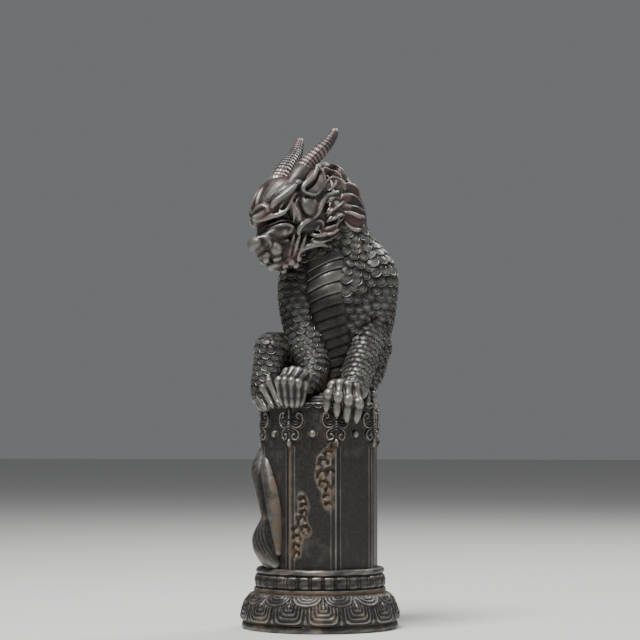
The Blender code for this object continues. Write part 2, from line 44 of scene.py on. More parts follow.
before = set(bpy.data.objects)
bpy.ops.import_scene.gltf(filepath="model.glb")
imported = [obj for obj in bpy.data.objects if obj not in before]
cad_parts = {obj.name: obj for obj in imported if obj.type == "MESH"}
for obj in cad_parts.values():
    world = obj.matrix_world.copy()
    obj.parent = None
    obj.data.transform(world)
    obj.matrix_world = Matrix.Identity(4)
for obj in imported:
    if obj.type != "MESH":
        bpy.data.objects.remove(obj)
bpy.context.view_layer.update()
NODE = "qilin_statue"
GROUP = "qilin"

MM = 0.001
LEFT = Vector((1, 0, 0))
FRONT = Vector((0, -1, 0))
UP = Vector((0, 0, 1))

# How the beast and its head stand.
FIGURE_TURN = math.radians(9)
HEAD_CENTRE = Vector((-9.0, -8.0, 186.4))
HEAD_TURN = math.radians(-141.3)
HEAD_NOD = math.radians(28.7)
HEAD_TILT = math.radians(10.3)

# A domed end is carried round this far, just short of a point.
DOME_TURN = math.radians(87)

# Cell sizes of the skins over the smaller forms, in metres.
PAW_VOXEL = 0.0004
TAIL_VOXEL = 0.0004
MANE_VOXEL = 0.00042

# The column: an octagon with a face towards -y, which is the seventh from +x.
FACES = 8
FRONT_FACE = 6
FACE_COLUMNS = 54
HALF_FACE_ANGLE = math.pi / FACES
COLUMN_RADIUS = 26.4
APOTHEM = COLUMN_RADIUS * math.cos(HALF_FACE_ANGLE)
HALF_SIDE = COLUMN_RADIUS * math.sin(HALF_FACE_ANGLE)
COLUMN_TURN = math.radians(1.7)
DUSTY_CORNER = math.radians(-112.5 + 1.7)
STUD_Z = 84.8
RIM_Z = 97.6
RIM_LOBES_A_FACE = 4
SLOPE_Z = 98.1
SEAT_Z = 104.6
SEAT_RADIUS = 15
# Rows of points down it, as (from, to, how many): the seat, the ornament and the plain shaft.
COLUMN_ROWS = ((SEAT_Z, 98.8, 20), (98.6, 77.4, 92), (76.8, 25.2, 74))

# The foot: petals below its ledge and flutes above it.
LEDGE_Z = 15.6
PETALS = 14
PETAL_START = math.radians(-78.5)
PETAL_COLUMNS = 46
PETAL_HALF_WIDTH = 7.75
PETAL_TOP = 11.2
PETAL_EDGE = 6.7
PETAL_RING = 1.5
PETAL_RISE = 0.62
HALF_PETAL_TOP = 15.9
HALF_PETAL_WIDTH = 7.6
HALF_PETAL_DROP = 5
HALF_PETAL_ARC = 0.24
FLUTES = 32
PROFILE_SPACING = 0.32

# Rows of (x, y, z, half width, half depth) along each form of the beast.
TORSO = (
    (3, 9, 101, 18, 15),
    (4, 9, 110, 22, 17),
    (6, 8, 124, 20.5, 17),
    (7, 5, 138, 19, 17),
    (8, 3, 150, 20, 17.5),
    (9, 5, 160, 18, 15.5),
    (8, 5, 170, 14.5, 14),
    (5, 3, 181, 13.5, 13.5),
    (2, 1, 191, 11.5, 12),
)
NAPE = (
    (9, 7, 171, 11.5, 12),
    (9.5, 6, 178, 11.2, 11.5),
    (9, 6, 186, 10.2, 10.5),
    (6, 6, 194, 8.6, 9),
    (0, 4, 199.5, 7.6, 8),
)
BELLY = (
    (1, -6.5, 164, 8, 7.5),
    (2, -6.5, 158, 9.3, 8.5),
    (3, -7, 150, 9.5, 9),
    (4, -6.5, 140, 9.3, 8.5),
    (5, -5.5, 130, 8.8, 8),
    (6.5, -4.5, 120, 8, 7.5),
    (7.5, -4, 109, 7.5, 7.5),
)
LEFT_FORELEG = (
    (19, 6, 166, 8, 8),
    (23, 5, 156, 11, 13),
    (23.5, 5, 144, 10.5, 12),
    (23, 4, 132, 9, 9.5),
    (20, -4, 122, 7.5, 8),
    (17, -12, 113, 6.5, 7),
    (15, -18, 106, 6, 6),
)
RIGHT_FORELEG = (
    (-4, 2, 164, 7, 8),
    (-8.6, -2, 154.5, 8.8, 11),
    (-10.2, -4, 145, 8, 9.5),
    (-8.5, -7, 133, 7.5, 7.5),
    (-5, -10, 122, 7.2, 7),
    (-3, -13.4, 113, 6.6, 6.3),
    (-5, -15.6, 107, 5.8, 5.6),
)
RIGHT_THIGH = (
    (-6, 11, 111, 13, 14),
    (-15, 1, 119, 10, 10.5),
    (-21.3, -8, 122, 7.3, 7.6),
)
RIGHT_SHIN = (
    (-21.3, -9, 121.5, 7.2, 7.2),
    (-22.5, -9, 113, 6.8, 6.8),
    (-24, -9, 104, 6.2, 6.2),
    (-23, -9, 99, 5, 5),
)
LEFT_THIGH = (
    (13, 12, 112, 13, 14),
    (19, 7, 120, 12, 12),
    (22, 1, 123, 8.8, 10),
)
LEFT_SHIN = (
    (22, 1, 123, 8.6, 9),
    (21.5, -2, 114, 7.6, 8),
    (19, -4, 106, 6, 6),
    (18, -5, 101, 5, 5),
)
TAIL = (
    (3, 9, 107, 6, 6),
    (-4, 18, 104, 6, 6),
    (-10, 24, 99, 5.5, 5.5),
    (-18, 20.5, 90, 5, 5),
    (-21.6, 11, 79.5, 4.3, 4.5),
    (-25.6, -1.2, 69.5, 4.7, 4.6),
    (-23.6, -9, 58, 4.2, 4),
    (-21.8, -13, 49, 3.6, 3.4),
)
# Metal left between the tail and the column.
TAIL_WEB = (
    (-23, -6.4, 74.5, 2.4, 2.6),
    (-22.4, -9, 69, 3.8, 3.8),
    (-20.6, -13, 60, 4.1, 3.8),
    (-19.4, -15.6, 52, 3.9, 3.4),
    (-18.6, -16.7, 43, 3.2, 2.8),
    (-17.8, -17.4, 34, 1.8, 1.8),
)
TAIL_TUFT = (
    (-21.8, -13, 49.5, 3, 3),
    (-22, -12.8, 46, 4.3, 3.8),
    (-23.2, -12.2, 40.5, 5.6, 4.6),
    (-22.9, -13, 35, 5.6, 4.5),
    (-21.2, -15, 30, 4.2, 3.6),
    (-19, -17.5, 27.4, 1.2, 1.2),
)
TUFT_STRANDS = 22
# Metal left between the legs where they meet the seat: centre and radii.
SEAT_FILL = ((3, -7.5, 103), (10, 8, 6.5))
# How far a belly plate stands proud along its height, as (share, rise).
PLATE_PROFILE = (
    (0, -0.05), (0.04, -0.15), (0.08, 0.2), (0.16, 0.42), (0.4, 0.62), (0.7, 0.8), (0.86, 0.86),
    (0.93, 0.76), (0.97, 0.45),
)
PLATE_STEPS = 40
# Each paw is its pad's centre and radii, its digits' half width, and its digits, each (first knuckle,
# second knuckle, tip).
PAWS = (
    (
        (13, -19.4, 103.4), (8, 6.4, 5.4), 2.2,
        (((5.6, -23, 105.4), (3.8, -26.6, 101.4), (3, -26.8, 97)),
         ((8.6, -24.2, 106), (8, -28, 100.4), (7.4, -27.6, 94.8)),
         ((12, -24.2, 105.4), (12.2, -28.2, 99), (11.6, -27.6, 92.8)),
         ((15.4, -23, 104.6), (16.4, -27, 97.8), (15.8, -26.6, 92.4))),
    ),
    (
        (-10.8, -19.4, 106.6), (6.6, 5.8, 5.2), 1.85,
        (((-14.4, -21.2, 111.4), (-17.6, -25.4, 107.4), (-16.6, -24.4, 99.4)),
         ((-11.8, -22.4, 112), (-15, -26.8, 107.3), (-14.3, -25.8, 98.8)),
         ((-9.2, -22.8, 111.6), (-12.2, -27.4, 107), (-12, -26.4, 98.6)),
         ((-6.8, -22.4, 110.6), (-9.4, -27.2, 106.4), (-9.7, -26.4, 98.6)),
         ((-5, -21, 109.4), (-6.8, -25.6, 105.4), (-7.8, -25.4, 99))),
    ),
    (
        (-24.5, -9.4, 104.2), (4.8, 5.6, 4.4), 1.35,
        (((-22.6, -14.6, 110), (-22.2, -17, 107.6), (-18, -20.6, 98)),
         ((-25.8, -12.4, 107.4), (-25, -15.4, 104.8), (-20.8, -18.4, 97.4)),
         ((-28, -9, 104), (-27, -12.2, 102), (-23.8, -14.6, 96.8)),
         ((-29, -5.4, 101.6), (-28.4, -8.4, 100), (-26.2, -10.4, 96.4))),
    ),
    (
        (17, -7, 102.5), (6, 6.5, 4), 1.9,
        (((13, -11, 105), (13, -14, 103.6), (13, -16.4, 100.6)),
         ((16, -11.6, 105), (16.4, -15, 103), (16.6, -17.4, 100)),
         ((19, -10.6, 104.6), (20, -13.8, 102.4), (20.6, -16, 99.4)),
         ((21, -7.4, 103.6), (22.8, -9.6, 101.4), (23.8, -11.4, 98.8))),
    ),
)
# Forms of the head, in its own axes.
FOREHEAD = (
    (2, 0, 7.6, 11.5, 5.8),
    (8.6, 0, 8.8, 10.8, 7.1),
    (15, 0, 7.6, 8.8, 5.9),
    (20, 0, 5.4, 6.8, 4.7),
    (23.4, 0, 3.6, 4.6, 3.2),
)
# Skin from the root of a horn down to the brow.
TEMPLE = (
    (-6.4, 7, 11.8, 4.3, 4.2),
    (-2.6, 7.2, 10.6, 4.8, 4.4),
    (1.6, 8.2, 9.4, 4.4, 3.6),
    (6.2, 9.4, 8.6, 3.4, 2.6),
    (10, 10.2, 8.2, 2.2, 1.9),
)
BROW = (
    (26, 1.6, 4.4, 1.7, 1.5),
    (23.2, 4.2, 4, 2.2, 1.7),
    (19, 7, 4.4, 3, 2),
    (14, 9.4, 5.6, 3.2, 2.1),
    (9, 11.2, 7.2, 2.6, 2),
    (4, 12, 8.6, 1.8, 1.6),
)
SNOUT = (
    (6, 0, -7, 9, 7),
    (18, 0, -7.4, 7, 5.6),
    (25, 0, -7, 5.6, 4.6),
    (29, 0, -6.8, 5, 4.2),
)
# The wing of the nose, from the nostril back to the cheek.
NOSE_WING = (
    (28.4, 3.6, -4.6, 1.6, 1.4),
    (25, 5.4, -5, 2.4, 1.8),
    (21, 7.4, -5.6, 3, 2.1),
    (18, 8.6, -6.4, 2.4, 1.8),
)
JAW = (
    (0, 0, -12.5, 9, 5),
    (13, 0, -16.2, 7.4, 3.6),
    (23, 0, -17.6, 5.4, 2.8),
    (28, 0, -17.2, 4, 2.4),
)
FACE_MASSES = (
    ((0, 0, 0), (18, 14, 13.5), False),
    ((3, 5, -8), (11.5, 7.6, 9), True),
    ((20, 0, -12.5), (9, 7.6, 7), False),
    ((22.4, 0, -2.4), (4.6, 4.4, 4), False),
    ((-7, 4, -6), (12, 8, 12), True),
    ((30.7, 0, -5.2), (4, 4.6, 3.6), False),
    ((28.6, 4.1, -7), (2.2, 2, 2.2), True),
    ((29.6, 0, -11.4), (3.2, 4.6, 2.8), False),
    ((26.6, 4.9, -11.2), (3.2, 2.9, 3.5), True),
    ((27, 3.6, -14.8), (2.7, 2.4, 2.1), True),
    ((31.3, 1.4, -13.2), (1.5, 1.6, 1.8), True),
    ((27, 0, -18), (3, 3.4, 2), False),
    ((12.6, 10.6, -0.8), (2.2, 3, 6.2), True),
    ((5, 12, -2.4), (4.4, 3.4, 5), True),
    ((20.4, 7.8, -6.2), (2.4, 2.2, 2.2), True),
)
# Raised strands of the face, each (points, half width at its middle, half width at its ends).
STRANDS = (
    # the brow's flames, fanning forward from the temple
    (((20.6, 7.4, 8), (16.6, 10.2, 9), (12, 12.2, 9.9), (6.4, 12.6, 9.4)), 0.95, 0.6),
    (((20.2, 9, 5.6), (18.4, 10, 6.7), (15.4, 11.4, 7), (11.2, 12.6, 7.6), (6, 12.8, 8.6)), 1.55, 1.2),
    (((16.6, 11.2, 1.2), (18.8, 10.6, 1.7), (19, 10.8, 3.4), (16.6, 11.9, 4.9), (13, 12.8, 5.9),
      (7.4, 13.2, 7.2)), 0.8, 0.5),
    (((19, 10.8, 1.2), (16.6, 12, 1.3), (13.8, 12.9, 3.2), (10.8, 13.4, 5.5), (6.6, 13.6, 6.1),
      (3.4, 13.6, 6.4)), 0.75, 0.45),
    (((27.6, 2.6, 3.4), (25.8, 5.6, 2.8), (22.6, 8.4, 2), (19.4, 10.2, 1), (16.6, 11.4, 0.7)), 0.95, 0.6),
    (((26.4, 1.2, 6), (24.4, 2.4, 8), (22, 4.4, 8.2), (21, 6.2, 6.4), (22, 6.8, 4.4)), 0.8, 0.5),
    (((22.6, 1.6, 8.4), (20.4, 1.8, 11), (17, 1.6, 13.2), (13.6, 1.4, 14.6)), 0.8, 0.4),
    # the lid, the wing of the nose and the lip
    (((24.4, 4.2, -0.6), (21, 6.2, -1.2), (18, 7.6, -1.8), (15.6, 9, -3.4)), 0.6, 0.4),
    (((28, 2.6, -2.2), (24.4, 5.4, -2.6), (20.6, 7.9, -3.4), (17.6, 9.4, -5), (16, 9.9, -7.6)), 0.9, 0.5),
    (((29.4, 3.6, -3.4), (28.4, 5, -4.6), (26.1, 6.5, -6.9), (23.8, 7.8, -9.4), (20.8, 8.8, -10.4)),
     0.9, 0.7),
    (((31, 3, -2.8), (29.6, 4.8, -4.4), (28.4, 5.9, -6.6), (28.6, 5.9, -8.8), (30, 5, -9.6)), 0.75, 0.5),
    # folds from the corner of the mouth to the chin
    (((17, 9.7, -9.2), (19.8, 8.9, -11.8), (22.4, 7.8, -14.6), (24.2, 6.2, -17.6)), 0.7, 0.4),
    (((14.6, 10.4, -10), (17.4, 9.5, -13), (20.4, 8.3, -15.8), (22.6, 6.6, -18.8)), 0.7, 0.4),
    (((12, 10.8, -11.2), (14.6, 10, -14), (17.8, 8.8, -16.8), (20.6, 7, -19.6)), 0.7, 0.4),
    # the ribbon along the cheek
    (((16.4, 10.4, -10.4), (14.7, 11.4, -8.4), (12.1, 12.6, -7.3), (8.3, 13.5, -7.2), (4.7, 14.1, -6.6),
      (1.7, 14.7, -5), (-1.1, 14.7, -3), (-4.9, 14.4, -2.3), (-8.8, 13.6, -3), (-13.5, 12, -3.5)),
     1.15, 0.8),
    (((-0.7, 14.2, -4.8), (-4.4, 14.3, -4.4), (-7.6, 13.8, -4.7), (-12, 12.4, -5.3)), 0.7, 0.4),
    # the jaw's edge and its fringe
    (((25.2, 5.4, -17.8), (21, 7.4, -17), (16.6, 9.2, -16.9), (11.8, 10.3, -18), (7, 10.2, -19.8),
      (4.4, 9, -22.4)), 1.1, 0.6),
    (((12.4, 9.8, -15.4), (7.4, 10.8, -16.6), (2.4, 10.6, -19)), 0.8, 0.4),
    # curls under the cheek
    (((9.6, 12.2, -9.2), (6, 13, -9), (3.6, 13.2, -10.8), (4.4, 12.8, -13), (7.4, 12.2, -13.4),
      (8, 12.4, -11.6)), 0.8, 0.5),
    (((10, 11.4, -12.6), (9.4, 11.6, -15), (4.4, 12.4, -16.6), (-1, 12.6, -16.2), (-6, 12.4, -13.6),
      (-9, 12.4, -8.6)), 0.9, 0.5),
    (((2.6, 13.2, -12.4), (-2.6, 13.4, -11.4), (-8, 12.8, -10.6)), 0.8, 0.4),
    (((0.6, 13.6, -9.2), (-4, 13.8, -7.4), (-9.6, 13, -7)), 0.8, 0.4),
    # the brow's outline behind the eye
    (((4, 14.2, 5), (8.8, 13.6, 4), (11.8, 13, 1.4), (14.4, 12, -2.2), (16, 10.6, -5.6)), 0.5, 0.3),
)
BEARD_CURLS = (
    ((22.8, 4.8, -19.6), 1.8), ((21.4, 5, -22), 1.5), ((25, 3, -19.4), 1.7), ((19.2, 6, -19.8), 1.6),
)
SKULL_STRANDS = 13
# The ear, a leaf curled into a cup: its front rim from the tip down, its lip from the foot round and
# up to the tip, and what closes its back.
EAR_FRONT = (
    (-8.8, 13.2, 11.4), (-6.2, 14.2, 9.6), (-2.8, 14.9, 8), (0.9, 15.3, 7.5), (4.1, 15.4, 6.9),
    (5.8, 15.2, 5.6), (5.3, 14.8, 4),
)
EAR_LIP = (
    (5.3, 14.8, 4), (3.6, 14.8, 2.3), (0.6, 14.8, 0.66), (-3.7, 14.4, 1.6), (-7.4, 13.6, 2.9),
    (-9.5, 13, 5.8), (-9.8, 12.8, 9), (-8.8, 13.2, 11.4),
)
EAR_LOBE = (
    (3, 14, 3, 1.6, 1.2),
    (-0.6, 14.1, 2.4, 2.4, 1.4),
    (-4.6, 13.6, 3.2, 2.6, 1.4),
    (-8, 12.8, 5.4, 2, 1.1),
)
EAR_BACK = (
    (4.6, 12.6, 5, 2.4, 1),
    (1, 12.8, 5, 3.4, 1),
    (-3, 12.4, 5.6, 3.6, 1),
    (-7.4, 11.8, 7.6, 3, 0.9),
)
LEFT_HORN = (
    (-1, 6.4, 10, 4, 4),
    (-7, 7.2, 13.1, 3.9, 3.8),
    (-13, 8.2, 14.8, 3.5, 3.4),
    (-20.6, 9, 16.5, 2.9, 2.9),
    (-26, 9.6, 18.5, 2.3, 2.3),
    (-28.6, 9.9, 20, 1.8, 1.8),
)
RIGHT_HORN = (
    (2.4, -3.6, 12.2, 4.9, 4.9),
    (-4.8, -5.9, 14.8, 4.7, 4.6),
    (-12, -8.7, 17, 4, 3.9),
    (-19, -11.2, 19, 3.2, 3.1),
    (-24, -12.4, 21.6, 2.4, 2.4),
    (-26.3, -12.9, 23.2, 1.8, 1.8),
)
# A soft fold under the root of the right horn.
COLLAR = (
    (2.6, -7.6, 14), (4.6, -5.6, 13.4), (4.6, -2.6, 13.2), (2.4, 0, 12.4), (-1.2, 0.6, 12), (-4.6, -0.4, 13),
)
HORN_RINGS = 17
RING_STEPS = 6
HORN_BEADS = 16
BEAD_DEPTH = 0.018
# Locks on each side of the head and nape, each (points from root to tip, half width, strands).
LOCKS = (
    (((-9.5, 12, -14.5), (-11.7, 12, -17.6), (-15.4, 11, -20.4), (-21.1, 9, -20.9)), 3.3, 4),
    (((-11.1, 11, -10.4), (-13.9, 11, -13.4), (-18.3, 10, -16), (-21.9, 9, -18.3)), 2.4, 5),
    (((-3.4, 14, -8), (-6.4, 13.4, -7.2), (-9.8, 12.2, -7.2), (-13.3, 11, -7.8)), 1.8, 3),
    (((1, 14, -11), (-2.6, 13.8, -10.9), (-6.6, 13, -11.3), (-10.2, 12, -13)), 1.8, 3),
    (((7.6, 13.5, -12.9), (3, 13.5, -13.1), (-2.7, 13, -13.2), (-8.5, 12, -13.6)), 1.8, 3),
    (((13.3, 12, -13), (10.3, 12, -16.1), (5.1, 12, -17.8), (-2.8, 12, -18.7)), 1.7, 3),
    (((6.5, 13, -14.1), (3.5, 13, -16), (-1.1, 12.5, -16.8), (-5.3, 12, -16.6)), 1.5, 3),
    (((-7.3, 13, 0.2), (-10, 12.5, 1.2), (-13.5, 11.5, 1.9), (-16.2, 10.5, 2.4)), 1.9, 3),
    (((-18.9, 9, -3.2), (-21.7, 8, -5.8), (-24, 7, -8.3), (-25.6, 6, -11.2)), 3, 5),
    (((-13.3, 11, -6.5), (-17.5, 9.5, -9.3), (-21.4, 8, -12.4), (-23.7, 7, -15.7)), 2.6, 5),
    (((-19.2, 5, 7.9), (-22.1, 4, 4.8), (-24, 3.5, 1.5), (-25.8, 3, -2.1)), 2.8, 5),
    (((-13.5, 8, 7.1), (-16.7, 7, 4.3), (-20, 6, 1.8), (-21.4, 6, -0.9)), 2.4, 5),
    (((-14.6, 9.4, 3), (-16.6, 9, 0.4), (-18.3, 8.5, -2.3), (-19.6, 8, -4.9)), 2, 5),
)
# Which way the left side of the head faces, for laying strands and locks on it.
LOCK_FACING = Vector((0.55, 0.82, 0.16)).normalized()
NAPE_LOCKS = 13
NAPE_LOCK_WIDTH = 2.9
NAPE_LOCK_STRANDS = 5
# A lock of fewer strands than this is a leaf with raised edges; any other is a full bundle.
BUNDLE_STRANDS = 5
# How each kind is made, as (rise of its edges, girth of its strands, depth of its bed).
LEAF_LOCK = (0.3, 0.95, 0.2)
BUNDLE_LOCK = (-0.12, 1.15, 0.52)

# How a lappet's lines run on one side of a corner, as (distance from the corner, height).
UPPER_SCROLL = (
    (0, 89.4), (1.2, 88.4), (2.8, 87.6), (4.6, 88), (5.7, 89.6), (5.9, 91.6), (5.3, 93.4), (4.2, 93.9),
    (3.4, 93.1), (3.6, 92), (4.3, 91.7),
)
UPPER_MIDDLE = ((0, 90.5), (1.2, 89.6), (2.7, 88.8), (4, 89.2), (4.7, 90.4))
UPPER_INNER = ((0, 91.7), (1.2, 90.9), (2.4, 90.1), (3.3, 90.6))
LOWER_SCROLL = (
    (0, 88.2), (1.4, 87.3), (3, 86.7), (4.1, 85.5), (4.1, 83.6), (3.1, 82.4), (1.9, 82.6), (1.4, 83.8),
    (2.1, 84.8), (2.9, 84.4),
)
LOWER_MIDDLE = ((0, 87), (1.3, 86.3), (2.5, 85.7), (3, 84.9))
SPEAR = ((0, 92.4), (0, 94.9))

# The nodules in two ragged chains of pits on the front face, as (distance from the face's middle,
# height, radius).
NODULES = (
    (9.2, 78.4, 1.2), (6.9, 76, 1.3), (4.8, 72.2, 1.8), (7.9, 68.3, 1.3), (4.1, 66.8, 1.9), (5, 63, 1.6),
    (7.1, 60.4, 1.2), (6.2, 57.4, 1), (7, 54.2, 0.9), (-4.3, 56.2, 1.1), (-3.7, 53.4, 1.2), (-3.8, 50.5, 1.1),
    (-4.8, 47.1, 1.7), (-3.4, 43.2, 1.7), (-7, 43, 1.5), (-6.9, 39.6, 1.5), (-7.3, 35.8, 1.3), (-7.2, 33, 1),
)

# The foot's outline from its top to its underside, as (radius, height).
FOOT_PROFILE = (
    (24.6, 26.4), (26.6, 26.7), (27.7, 26.3), (28.3, 25.4), (28.2, 24.5), (27.5, 23.9), (27.2, 23.6),
    (28.1, 22.9), (28.5, 21), (28.3, 19), (27.6, 18.2), (27.8, 17.9), (28.9, 17.7), (29.1, 16.6),
    (28.8, 15.6), (29.2, 15.2), (30.7, 14.2), (32.3, 12.4), (33.1, 11), (33.8, 9.2), (34.4, 7),
    (34.75, 5.2), (34.3, 4), (33.7, 3.3), (34.1, 2.7), (34.5, 1.4), (34.3, 0.5), (33.7, 0.02), (30, 0),
)

# Where dust has settled, as (centre, radius, amount).
DUST_SPOTS = (
    ((3, -14, 106), 9, 0.65),
    ((2, -10, 112), 6, 0.45),
    ((-15, -8, 104), 7, 0.5),
    ((-21, -14, 101), 6, 0.6),
    ((12, -10, 103), 7, 0.5),
    ((12, -6, 128), 5, 0.4),
    ((14, 14, 118), 6, 0.35),
)
TAIL_DUST = (
    ((-20, -13.6, 72), 5, 0.8),
    ((-18, -17.2, 63), 5.6, 0.85),
    ((-17, -18.8, 54), 5.6, 0.85),
    ((-17, -19, 45), 5.4, 0.85),
    ((-16.8, -19, 37), 4.6, 0.8),
    ((-18, 12, 84), 7, 0.8),
)


# ---------------------------------------------------------------- settings

class QilinForm(bpy.types.PropertyGroup):
    """Sizes of the beast's surface."""

    skin_voxel: bpy.props.FloatProperty(
        name="Body Voxel", description="Cell size of the body's skin", default=0.0008,
        subtype="DISTANCE", unit="LENGTH",
    )
    head_voxel: bpy.props.FloatProperty(
        name="Head Voxel", description="Cell size of the head's skin", default=0.00043,
        subtype="DISTANCE", unit="LENGTH",
    )
    shoulder_scale: bpy.props.FloatProperty(
        name="Shoulder Scale", description="Width of the largest scales", default=0.0062,
        subtype="DISTANCE", unit="LENGTH",
    )
    leg_scale: bpy.props.FloatProperty(
        name="Leg Scale", description="Width of the scales at the paws", default=0.0033,
        subtype="DISTANCE", unit="LENGTH",
    )
    belly_plates: bpy.props.IntProperty(
        name="Belly Plates", description="Plates down the chest", default=12, min=4, max=20,
    )


class QilinPatina(bpy.types.PropertyGroup):
    """Colours of the old brass."""

    dark: bpy.props.FloatVectorProperty(
        name="Patina", description="Dark skin of the metal", default=(0.036, 0.032, 0.029), size=3,
        subtype="COLOR",
    )
    bare: bpy.props.FloatVectorProperty(
        name="Polished", description="Metal rubbed bright on the high points",
        default=(0.3, 0.282, 0.262), size=3, subtype="COLOR",
    )
    dust: bpy.props.FloatVectorProperty(
        name="Dust", description="Ochre dust in the recesses", default=(0.12, 0.086, 0.056), size=3,
        subtype="COLOR",
    )
    rust: bpy.props.FloatVectorProperty(
        name="Red Patina", description="Reddish skin of the head and horns",
        default=(0.08, 0.037, 0.03), size=3, subtype="COLOR",
    )
    verdigris: bpy.props.FloatVectorProperty(
        name="Green Patina", description="Greenish skin of the scales and paws",
        default=(0.036, 0.046, 0.037), size=3, subtype="COLOR",
    )


class QilinStage(bpy.types.PropertyGroup):
    """Floor, light and camera."""

    floor: bpy.props.FloatVectorProperty(
        name="Floor", description="Colour of the floor", default=(0.72, 0.71, 0.69), size=3, subtype="COLOR",
    )
    key_power: bpy.props.FloatProperty(
        name="Key Power", description="Power of the main light", default=13.8, subtype="POWER", unit="POWER",
    )
    camera_distance: bpy.props.FloatProperty(
        name="Camera Distance", description="From the centre line to the lens", default=0.887,
        subtype="DISTANCE", unit="LENGTH",
    )


# ---------------------------------------------------------------- swept forms

def smooth_rows(rows, steps):
    """Rows along a Catmull-Rom curve through the given rows, steps to each stretch."""
    ends = [rows[0], *rows, rows[-1]]
    made = []
    for a, b, c, d in zip(ends, ends[1:], ends[2:], ends[3:]):
        for step in range(steps):
            t = step / steps
            made.append([
                0.5 * (2 * q + (r - p) * t + (2 * p - 5 * q + 4 * r - s) * t * t
                       + (3 * q - p - 3 * r + s) * t**3)
                for p, q, r, s in zip(a, b, c, d)
            ])
    made.append(list(rows[-1]))
    return made


def rounded_rows(rows, end_steps=4):
    """The rows with a dome added at each end."""
    def dome(end, inner):
        along = (Vector(end[:3]) - Vector(inner[:3])).normalized()
        reach = 0.5 * (end[3] + end[4])
        for step in range(1, end_steps + 1):
            angle = DOME_TURN * step / end_steps
            point = Vector(end[:3]) + along * reach * math.sin(angle)
            yield [*point, end[3] * math.cos(angle), end[4] * math.cos(angle)]

    return [*reversed(list(dome(rows[0], rows[1]))), *rows, *dome(rows[-1], rows[-2])]


def station_frames(rows, side):
    """A matrix for each row that puts a unit circle square to the run of the rows."""
    frames = []
    for index, row in enumerate(rows):
        before = Vector(rows[max(index - 1, 0)][:3])
        after = Vector(rows[min(index + 1, len(rows) - 1)][:3])
        along = (after - before).normalized()
        depth = along.cross(side).normalized()
        width = depth.cross(along)
        axes = Matrix((width * row[3] * MM, depth * row[4] * MM, along * MM))
        frames.append(Matrix.Translation(Vector(row[:3]) * MM) @ axes.transposed().to_4x4())
    return frames


def sweep(bm, rows, sides, side=LEFT, flutes=0, flute_depth=0.0):
    """Adds a closed tube: a disc, round or fluted, drawn out from row to row."""
    frames = station_frames(rows, side)
    tube = bmesh.new()
    disc = bmesh.ops.create_circle(tube, cap_ends=True, segments=sides, radius=1)["verts"]
    for vert in disc:
        vert.co *= 1 + flute_depth * math.cos(flutes * math.atan2(vert.co.y, vert.co.x))
    bmesh.ops.transform(tube, matrix=frames[0], verts=disc)
    tip = disc[0].link_faces[0]
    tip.copy(verts=False, edges=False).normal_flip()
    for before, after in zip(frames, frames[1:]):
        tip = bmesh.ops.extrude_discrete_faces(tube, faces=[tip])["faces"][0]
        bmesh.ops.transform(tube, matrix=after @ before.inverted(), verts=tip.verts)
    mesh = bpy.data.meshes.new("tube")
    tube.to_mesh(mesh)
    tube.free()
    bm.from_mesh(mesh)
    bpy.data.meshes.remove(mesh)


def form(bm, rows, sides=24, side=LEFT):
    """One smooth swept form with domed ends."""
    sweep(bm, rounded_rows(smooth_rows(rows, 5), 5), sides, side)


def ball(bm, centre, radii, segments=24):
    """An ellipsoid."""
    matrix = Matrix.Translation(Vector(centre) * MM) @ Matrix.Diagonal((*(Vector(radii) * MM), 1))
    bmesh.ops.create_uvsphere(bm, u_segments=segments, v_segments=segments // 2, radius=1, matrix=matrix)


def strand(bm, points, middle, end, side=UP, sides=10):
    """A thin raised line that swells in its middle."""
    run = smooth_rows([(*point, 0, 0) for point in points], 6)
    rows = []
    for index, row in enumerate(run):
        swell = end + (middle - end) * math.sin(math.pi * index / (len(run) - 1))
        rows.append((*row[:3], swell, swell))
    sweep(bm, rounded_rows(rows, 3), sides, side)


def mirrored(rows):
    """The rows on the other side of the head."""
    return [(row[0], -row[1], *row[2:]) for row in rows]


def head_matrix():
    """From the head's axes to the beast's."""
    turned = (
        Matrix.Rotation(HEAD_TURN, 4, "Z")
        @ Matrix.Rotation(HEAD_NOD, 4, "Y")
        @ Matrix.Rotation(HEAD_TILT, 4, "X")
    )
    return Matrix.Translation(HEAD_CENTRE * MM) @ turned


def figure_matrix():
    """From the beast's axes to the statue's."""
    return Matrix.Rotation(FIGURE_TURN, 4, "Z")


# ---------------------------------------------------------------- meshes

def melted(name, bm, voxel, rounds):
    """One skin over all the forms in bm, softened a little."""
    mesh = bpy.data.meshes.new(name)
    bmesh.ops.recalc_face_normals(bm, faces=bm.faces)
    bm.to_mesh(mesh)
    bm.free()
    rough = bpy.data.objects.new(name + "_rough", mesh)
    bpy.context.scene.collection.objects.link(rough)
    melt = rough.modifiers.new("Melt", "REMESH")
    melt.mode = "VOXEL"
    melt.voxel_size = voxel
    soften = rough.modifiers.new("Soften", "SMOOTH")
    soften.factor = 0.5
    soften.iterations = rounds
    depsgraph = bpy.context.evaluated_depsgraph_get()
    skin = bpy.data.meshes.new_from_object(rough.evaluated_get(depsgraph))
    skin.name = name
    bpy.data.objects.remove(rough)
    bpy.data.meshes.remove(mesh)
    return skin


def mesh_of(name, bm):
    """The mesh of closed forms, with their faces turned out."""
    mesh = bpy.data.meshes.new(name)
    bmesh.ops.recalc_face_normals(bm, faces=bm.faces)
    bm.to_mesh(mesh)
    bm.free()
    return mesh


def points_of(mesh):
    """The mesh's points as rows of an array."""
    points = np.empty(len(mesh.vertices) * 3, np.float32)
    mesh.vertices.foreach_get("co", points)
    return points.reshape(-1, 3)


